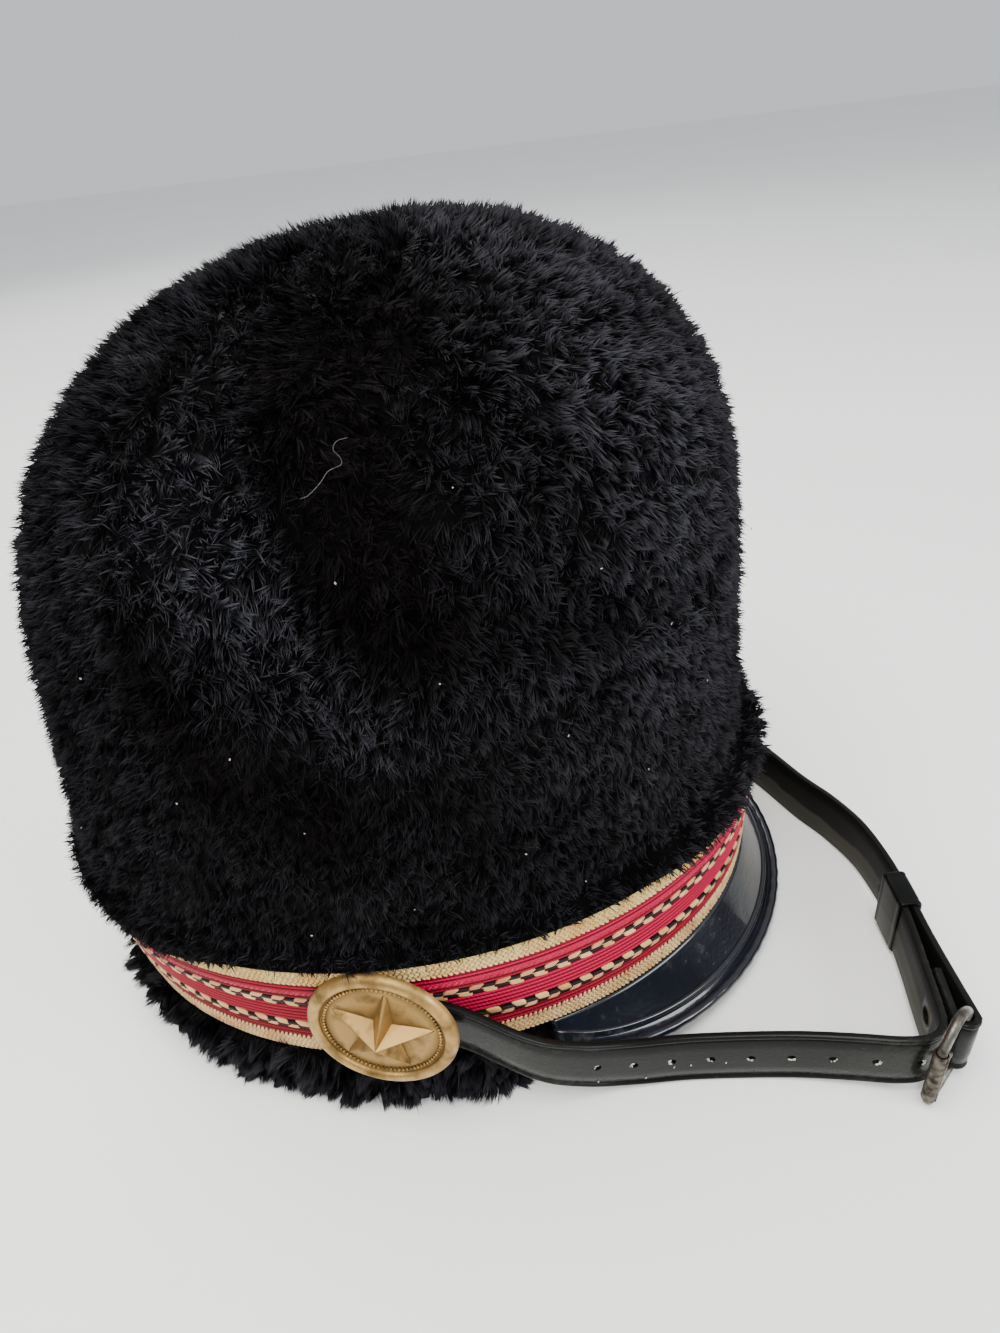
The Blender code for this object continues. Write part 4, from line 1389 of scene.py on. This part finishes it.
def smooth_route(stops, step):
    """Points about a step apart along a smooth curve through the stops."""
    ends = [stops[0] * 2 - stops[1], *stops, stops[-1] * 2 - stops[-2]]
    fine = []
    for a, b, c, d in zip(ends, ends[1:], ends[2:], ends[3:]):
        parts = max(3, math.ceil((c - b).length / step))
        for i in range(parts):
            t = i / parts
            curve = 2 * b + (c - a) * t + (2 * a - 5 * b + 4 * c - d) * t**2
            fine.append((curve + (3 * b - a - 3 * c + d) * t**3) / 2)
    fine.append(stops[-1])
    return fine


def strap_start(side):
    """Where the strap lies on the band behind a button, and on its way down."""
    reach = STRAP_THICKNESS / 2 + SEAT_GAP
    stops = []
    for turn, drop_share, lift in STRAP_STARTS:
        angle = (BUTTON_ANGLE + turn) * side
        seat = leaned(band_point(angle, BUTTON_HEIGHT - drop_share * STRAP_WIDTH))
        stops.append(seat + band_outward(angle) * (reach + lift * reach))
    return stops


def strap_loft(name, stops, side, finish, rounded=0.0):
    """A strap on edge along its route, marked with its length, its height and its back."""
    points = smooth_route(stops, ROUTE_STEP)
    walked = [0.0]
    for here, there in zip(points, points[1:]):
        walked.append(walked[-1] + (there - here).length)
    rings, backs, ups, lengths = [], [], [], []
    for i, point in enumerate(points):
        ahead = points[min(i + 1, len(points) - 1)] - points[max(i - 1, 0)]
        across = Vector((ahead.y, -ahead.x, 0.0)).normalized()
        fall = min(max((point.z - STRAP_WIDTH / 2) / (BUTTON_HEIGHT - STRAP_WIDTH / 2), 0.0), 1.0)
        up = (Vector((0.0, 0.0, 1.0)) + across * side * BAND_FLARE * fall).normalized()
        left = walked[-1] - walked[i]
        narrow = math.sqrt(max(1.0 - (1.0 - left / rounded) ** 2, 0.02)) if left < rounded else 1.0
        rings.append([point + across * side * out + up * rise * narrow for out, rise, _ in STRAP_SECTION])
        backs.append([back for _, _, back in STRAP_SECTION])
        ups.append([rise * narrow / STRAP_WIDTH * 2 for _, rise, _ in STRAP_SECTION])
        lengths.append([walked[i]] * len(STRAP_SECTION))
    strap = loft(name, rings, capped=True, marks={"back": backs, "up": ups, "along": lengths})
    strap.data.set_sharp_from_angle(angle=math.radians(50.0))
    strap.data.materials.append(finish)
    return strap, points, walked


def strap_material():
    """Lacquered black face with scuffs; matt olive-grey back, blackened near its upper edge."""
    made, tree, shader = finish_material("strap_leather", 0.3, Coat_Roughness=0.12, Specular_IOR_Level=0.07)
    wear = place_group(tree, worn_leather, {"Place": own_place(tree), "Grain": 900.0, "Scuffing": 0.45})
    back = read_mark(tree, "back")
    face = ramp(tree, wear["Cloud"], [(0.35, (0.0030, 0.0032, 0.0030)), (0.72, (0.011, 0.0115, 0.0095))])
    face = blend(tree, wear["Scuffs"], face, (0.030, 0.029, 0.025))
    flesh = ramp(tree, wear["Cloud"], [(0.30, (0.022, 0.022, 0.017)), (0.70, (0.046, 0.045, 0.035))])
    edge = number(tree, "ADD", read_mark(tree, "up"), number(tree, "MULTIPLY", wear["Cloud"], 1.6))
    flesh = blend(tree, ranged(tree, edge, 0.62, 0.78), flesh, (0.0035, 0.0035, 0.0032))
    tree.links.new(blend(tree, back, face, flesh), shader.inputs["Base Color"])
    dull = number(tree, "MAXIMUM", back, wear["Scuffs"])
    tree.links.new(ranged(tree, dull, first=0.26, last=0.55), shader.inputs["Roughness"])
    tree.links.new(ranged(tree, dull, first=0.10, last=0.0), shader.inputs["Coat Weight"])
    emboss(tree, shader, wear["Relief"], 0.45, 0.0006)
    return made


leather = strap_material()
near_stops = strap_start(1) + [HAT_MIDDLE + put(*stop) for stop in NEAR_ROUTE]
near_strap, points, walked = strap_loft("strap_holed_leather", near_stops, 1, leather, TAIL_ROUNDING)

holes = []
for place_along in [FIRST_HOLE + HOLE_PITCH * i for i in range(HOLE_COUNT)]:
    spot = next(i for i, length in enumerate(walked) if length >= place_along)
    share = (place_along - walked[spot - 1]) / (walked[spot] - walked[spot - 1])
    ahead = (points[spot] - points[spot - 1]).normalized()
    holes.append((points[spot - 1].lerp(points[spot], share), ahead, HOLE_RADIUS))
nearest = min(range(len(points)), key=lambda i: (points[i] - TAIL_HOLE).length)
holes.append((points[nearest], (points[nearest + 1] - points[nearest - 1]).normalized(), TAIL_HOLE_RADIUS))

punch_mesh = bpy.data.meshes.new("punch")
punch_shape = bmesh.new()
for spot, ahead, radius in holes:
    out = Vector((ahead.y, -ahead.x, 0.0)).normalized()
    turned = out.to_track_quat("Z", "Y").to_matrix().to_4x4()
    turned.translation = spot
    bmesh.ops.create_cone(
        punch_shape,
        cap_ends=True,
        segments=20,
        radius1=radius,
        radius2=radius,
        depth=4 * STRAP_THICKNESS,
        matrix=turned,
    )
punch_shape.to_mesh(punch_mesh)
punch_shape.free()
punch = stand("punch", punch_mesh)
cut = near_strap.modifiers.new("Holes", "BOOLEAN")
cut.operation = "DIFFERENCE"
cut.object = punch
near_strap.data = settled(near_strap, cut)
drop(punch)
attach(near_strap, "root")
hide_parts("strap_holed")

# The holes are worn: pale fibres stand torn at one edge of each, and a few pale specks lie below.
# The tail's larger hole has a rubbed brown edge on the strap's back.
SPECKS = [(0.0, -0.0068), (1.3, -0.0066), (2.05, -0.0027), (2.48, -0.0022), (3.38, -0.0018)]
FIBRE_PITCH = 0.0004
pale_shades = ((0.45, 0.43, 0.38), (0.80, 0.78, 0.72))
brown_shades = ((0.050, 0.034, 0.020), (0.13, 0.10, 0.065))
fibre_finish = thread_material("torn_fibre", *pale_shades, FIBRE_PITCH, roughness=0.9)
brown_finish = thread_material("brown_edge", *brown_shades, FIBRE_PITCH, roughness=0.9)
fibre = oval_shape("fibre", 5, 4)


def edge_spot(hole, turn, share):
    """A stitch's spot at a turn round a hole, at a share of its radius."""
    spot, ahead, radius = hole
    out = Vector((ahead.y, -ahead.x, 0.0)).normalized()
    flat = ahead * math.cos(turn) + Vector((0.0, 0.0, 1.0)) * math.sin(turn)
    return spot + flat * radius * share + out * STRAP_THICKNESS / 2, flat, out, 0.9


spots = []
for i, hole in enumerate(holes[:-1]):
    for j in range(4 + 3 * (i % 3)):
        spots.append(edge_spot(hole, 2.3 + 0.5 * i + 1.1 * math.sin(1.7 * j), 0.65 + 0.08 * (j % 5)))
for step, rise in SPECKS:
    spot, ahead, _ = holes[int(step)]
    shift = (holes[int(step) + 1][0] - spot) * (step % 1.0)
    spots.append(edge_spot((spot + shift + Vector((0.0, 0.0, rise)), ahead, 0.0), 0.4, 0.0))
torn = sew("hole_fibres", spots, fibre, (0.00042, 0.00018, 0.00014), 0.45, 29, fibre_finish)
spots = []
for j in range(40):
    place, flat, out, _ = edge_spot(holes[-1], 2 * math.pi * j / 40, 1.12)
    spots.append((place - out * STRAP_THICKNESS, flat, out, math.pi / 2))
rubbed = sew("tail_hole_edge", spots, fibre, (0.00050, 0.00035, 0.00016), 0.20, 31, brown_finish)

wrap = WIRE_RADIUS + STRAP_THICKNESS / 2 + 0.0003
bend = []
for i in range(13):
    turn = math.pi * i / 12
    bend.append(BAR + Vector((-math.sin(turn), -math.cos(turn), 0.0)) * wrap)
far_stops = strap_start(-1) + [HAT_MIDDLE + put(*stop) for stop in FAR_ROUTE] + bend + [FOLDED_END]
far_strap, _, _ = strap_loft("strap_plain_leather", far_stops, -1, leather)
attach(far_strap, "root")
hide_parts("strap_plain")

# The keeper is a narrow loop of the strap's own leather, with rolled edges. It sits beyond the buckle
# and holds the two layers of the strap together.
KEEPER_WIDTH = 0.013
KEEPER_THICKNESS = 0.0008
KEEPER_PLACE = HAT_MIDDLE + put(0.1472, -0.0480, 0.0126)
KEEPER_CORNER = 0.0007
OUTER_LAYER = 0.1486
INNER_LAYER = 0.1458
CORNER_STEPS = 6
keeper_out = (OUTER_LAYER - INNER_LAYER + STRAP_THICKNESS) / 2 + 0.0003
keeper_up = STRAP_WIDTH / 2 + 0.0004


def keeper_outline(grown):
    """A rounded box round the strap, in steps of how far out and how far up."""
    radius = KEEPER_CORNER + grown
    outline = []
    for corner, (out_sign, up_sign) in enumerate(((1, 1), (-1, 1), (-1, -1), (1, -1))):
        for i in range(CORNER_STEPS + 1):
            turn = math.pi / 2 * (corner + i / CORNER_STEPS)
            out = out_sign * (keeper_out - KEEPER_CORNER) + radius * math.cos(turn)
            outline.append((out, up_sign * (keeper_up - KEEPER_CORNER) + radius * math.sin(turn)))
    return outline


KEEPER_SECTION = [(0.0, -0.5), (0.75, -0.5), (1.0, -0.47), (1.0, -0.42), (0.8, -0.38), (0.95, -0.33)]
KEEPER_SECTION += [(grown, -along) for grown, along in reversed(KEEPER_SECTION)]
rings, backs, ups = [], [], []
for grown, along in KEEPER_SECTION:
    shift = Vector((along * KEEPER_WIDTH, 0.0, 0.0))
    outline = keeper_outline(grown * KEEPER_THICKNESS)
    rings.append([KEEPER_PLACE + shift + Vector((0.0, -out, up)) for out, up in outline])
    backs.append([0.5 if out < 0.0 else 0.0 for out, _ in outline])
    ups.append([up / keeper_up for _, up in outline])
keeper = loft("keeper_loop", rings, route_closed=True, marks={"back": backs, "up": ups})
keeper.data.set_sharp_from_angle(angle=math.radians(50.0))
keeper.data.materials.append(leather)
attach(keeper, "root")
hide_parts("keeper")

# The buckle is bent from steel wire, dulled and rust-stained, with a prong and with a sheet-metal
# roller on the bar that the strap is pulled round.
ROLLER_RADIUS = 0.0020
BUCKLE_HALF = STRAP_WIDTH / 2 + 0.0017
BUCKLE_TOP_ARCH = 0.0052
BUCKLE_FOOT_ARCH = 0.0006
WIRE_SIDES = 14
ROLLER_SIDES = 36
SEAM_SIDE = 20
SEAM_DEPTH = 0.00025
steel = metal_material("old_steel", (0.17, 0.160, 0.142), (0.050, 0.042, 0.034), 240.0, 0.30, 0.60)
rusty = metal_material("rusty_roller", (0.115, 0.100, 0.080), (0.034, 0.025, 0.018), 420.0, 0.38, 0.75)


def tube(name, points, radius, sides, closed, finish):
    """A round bar along points, with rounded ends where it isn't closed."""
    rings = []
    last = len(points) - 1
    for i, point in enumerate(points):
        before = points[i - 1] if i or closed else points[0]
        after = points[(i + 1) % len(points)] if i < last or closed else points[last]
        ahead = (after - before).normalized()
        upright = abs(ahead.z) > 0.999
        side = (ahead.orthogonal() if upright else ahead.cross(Vector((0.0, 0.0, 1.0)))).normalized()
        up = side.cross(ahead)
        if rings and side.dot(last_side) < 0:
            side, up = -side, -up
        last_side = side
        narrow = 0.55 if not closed and i in (0, last) else 1.0
        rings.append([point + way * radius * narrow for way in round_ways(side, up, sides)])
    hollows = [[0.0] * sides] * len(rings)
    made = loft(name, rings, route_closed=closed, capped=not closed, marks={"hollow": hollows})
    made.data.materials.append(finish)
    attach(made, "root")
    return made


level_way = (ROLLER - BAR).normalized()
plane_side = Vector((level_way.y, -level_way.x, 0.0))
loop_points = []
for side, rise in ((1, BUCKLE_TOP_ARCH), (-1, BUCKLE_FOOT_ARCH)):
    arch = []
    for i in range(25):
        share = 0.5 - 0.5 * math.cos(math.pi * i / 24)
        spot = BAR.lerp(ROLLER, share)
        spot.z += side * (BUCKLE_HALF + rise * math.sin(math.pi * share))
        arch.append(spot)
    loop_points.extend(arch if side == 1 else reversed(arch))
rings = []
for i, point in enumerate(loop_points):
    ahead = (loop_points[(i + 1) % len(loop_points)] - loop_points[i - 1]).normalized()
    inwards = plane_side.cross(ahead)
    rings.append([point + way * WIRE_RADIUS for way in round_ways(plane_side, inwards, WIRE_SIDES)])
hollows = [[0.0] * WIRE_SIDES] * len(rings)
buckle = loft("buckle_frame_wire", rings, route_closed=True, marks={"hollow": hollows})
buckle.data.materials.append(steel)
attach(buckle, "root")
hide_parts("buckle_frame")

start = BAR + level_way * (2 * WIRE_RADIUS + STRAP_THICKNESS + 0.0009)
end = ROLLER - level_way * (ROLLER_RADIUS + 0.0006)
prong_points = [start.lerp(end, i / 8) for i in range(9)]
prong = tube("buckle_prong_wire", prong_points, 0.7 * WIRE_RADIUS, 12, False, steel)
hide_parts("buckle_prong")

rings, hollows = [], []
roller_ways = round_ways(Vector((1.0, 0.0, 0.0)), Vector((0.0, 1.0, 0.0)), ROLLER_SIDES)
tall = STRAP_WIDTH / 2
for radius, rise, hollow in (
    (WIRE_RADIUS + 0.0003, -tall, 1.0),
    (ROLLER_RADIUS - 0.0003, -tall, 0.5),
    (ROLLER_RADIUS, -tall + 0.0003, 0.0),
    (ROLLER_RADIUS * 0.985, -tall / 3, 0.0),
    (ROLLER_RADIUS * 0.985, tall / 3, 0.0),
    (ROLLER_RADIUS, tall - 0.0003, 0.0),
    (ROLLER_RADIUS - 0.0003, tall, 0.5),
    (WIRE_RADIUS + 0.0003, tall, 1.0),
):
    ring = []
    for i, way in enumerate(roller_ways):
        seam = SEAM_DEPTH if i == SEAM_SIDE else 0.0
        ring.append(ROLLER + way * (radius - seam) + Vector((0.0, 0.0, rise)))
    rings.append(ring)
    hollows.append([hollow] * ROLLER_SIDES)
roller = loft("buckle_roller_tube", rings, route_closed=True, marks={"hollow": hollows})
roller.data.set_sharp_from_angle(angle=math.radians(40.0))
roller.data.materials.append(rusty)
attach(roller, "root")
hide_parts("buckle_roller")

# Lint has settled on the plush. It is pale specks that cling to the pile's tips,
# and one long dull fibre that curls over the crown's right side.
lint_finish = thread_material("lint", (0.25, 0.25, 0.23), (0.50, 0.50, 0.46), FIBRE_PITCH, roughness=0.9)

# Angle and height of each speck.
SPECK_PLACES = [
    (78, 0.150), (64, 0.128), (95, 0.118), (52, 0.105), (84, 0.088), (70, 0.097),
    (101, 0.141), (58, 0.162), (88, 0.171), (46, 0.139), (110, 0.126), (73, 0.182),
    (97, 0.082), (62, 0.078), (40, 0.118), (120, 0.155), (133, 0.102), (22, 0.142),
    (-30, 0.120), (-62, 0.150), (-95, 0.108), (-120, 0.166), (-150, 0.130), (170, 0.115),
]
spots = []
for i, (angle, height) in enumerate(SPECK_PLACES):
    place = plush_point(angle, height, 0.0022)
    out = (plush_point(angle, height, 0.01) - plush_point(angle, height, 0.0)).normalized()
    spots.append((place, out.orthogonal(), out, 1.9 * i))
sew("lint_specks", spots, fibre, (0.00026, 0.00016, 0.00014), 0.5, 41, lint_finish)
drop(fibre, loop)

# Angle and height in millimetres of the fibre's stops.
FIBRE_STOPS = [
    (91.6, 184.8), (90.5, 185.2), (89.0, 186.7), (88.1, 188.0), (87.1, 188.4), (86.3, 188.7),
    (86.4, 189.6), (87.2, 190.7), (87.2, 191.4), (86.6, 192.0), (85.3, 192.1),
]
stops = [plush_point(angle, height / 1000.0, 0.0030) for angle, height in FIBRE_STOPS]
dull_shades = ((0.08, 0.08, 0.074), (0.20, 0.20, 0.18))
dull_thread = thread_material("dull_thread", *dull_shades, FIBRE_PITCH, roughness=0.9)
tube("lint_fibre", smooth_route(stops, 0.0005), 0.00005, 5, False, dull_thread)

# The stage is a plain pale floor under soft studio light: a large lamp overhead, a weaker one by the
# camera and a cool one from behind.
FLOOR_HALF = 6.0
floor_mesh = bpy.data.meshes.new("floor")
corners = [(x * FLOOR_HALF, y * FLOOR_HALF, 0.0) for x, y in ((-1, -1), (1, -1), (1, 1), (-1, 1))]
floor_mesh.from_pydata(corners, [], [(0, 1, 2, 3)])
floor = stand("floor", floor_mesh)
stone, tree, shader = finish_material("pale_floor", 0.35, Specular_IOR_Level=0.4)
pale = ramp(tree, mottle(tree, 3.0, 3.0), [(0.3, (0.86, 0.865, 0.83)), (0.7, (0.89, 0.895, 0.86))])
tree.links.new(pale, shader.inputs["Base Color"])
floor_mesh.materials.append(stone)


def lamp(name, place, size, power, colour):
    """A square soft lamp that looks at the hat."""
    light = bpy.data.lights.new(name, "AREA")
    light.size = size
    light.energy = power
    light.color = colour
    made = stand(name, light)
    made.location = place
    made.rotation_euler = (Vector((0.0, 0.0, 0.08)) - Vector(place)).to_track_quat("-Z", "Y").to_euler()


lamp("overhead", (-0.4, 0.3, 1.6), 1.2, 49.0, (1.0, 0.99, 0.96))
lamp("window", (-0.9, -1.5, 1.0), 1.0, 32.0, (0.96, 0.98, 1.0))
lamp("behind", (1.3, 0.8, 1.2), 1.0, 14.0, (1.0, 0.98, 0.94))
sky = bpy.data.worlds.new("soft_room")
bpy.context.scene.world = sky
sky.use_nodes = True
sky.node_tree.nodes["Background"].inputs["Color"].default_value = (0.90, 0.94, 1.0, 1.0)
sky.node_tree.nodes["Background"].inputs["Strength"].default_value = 0.78
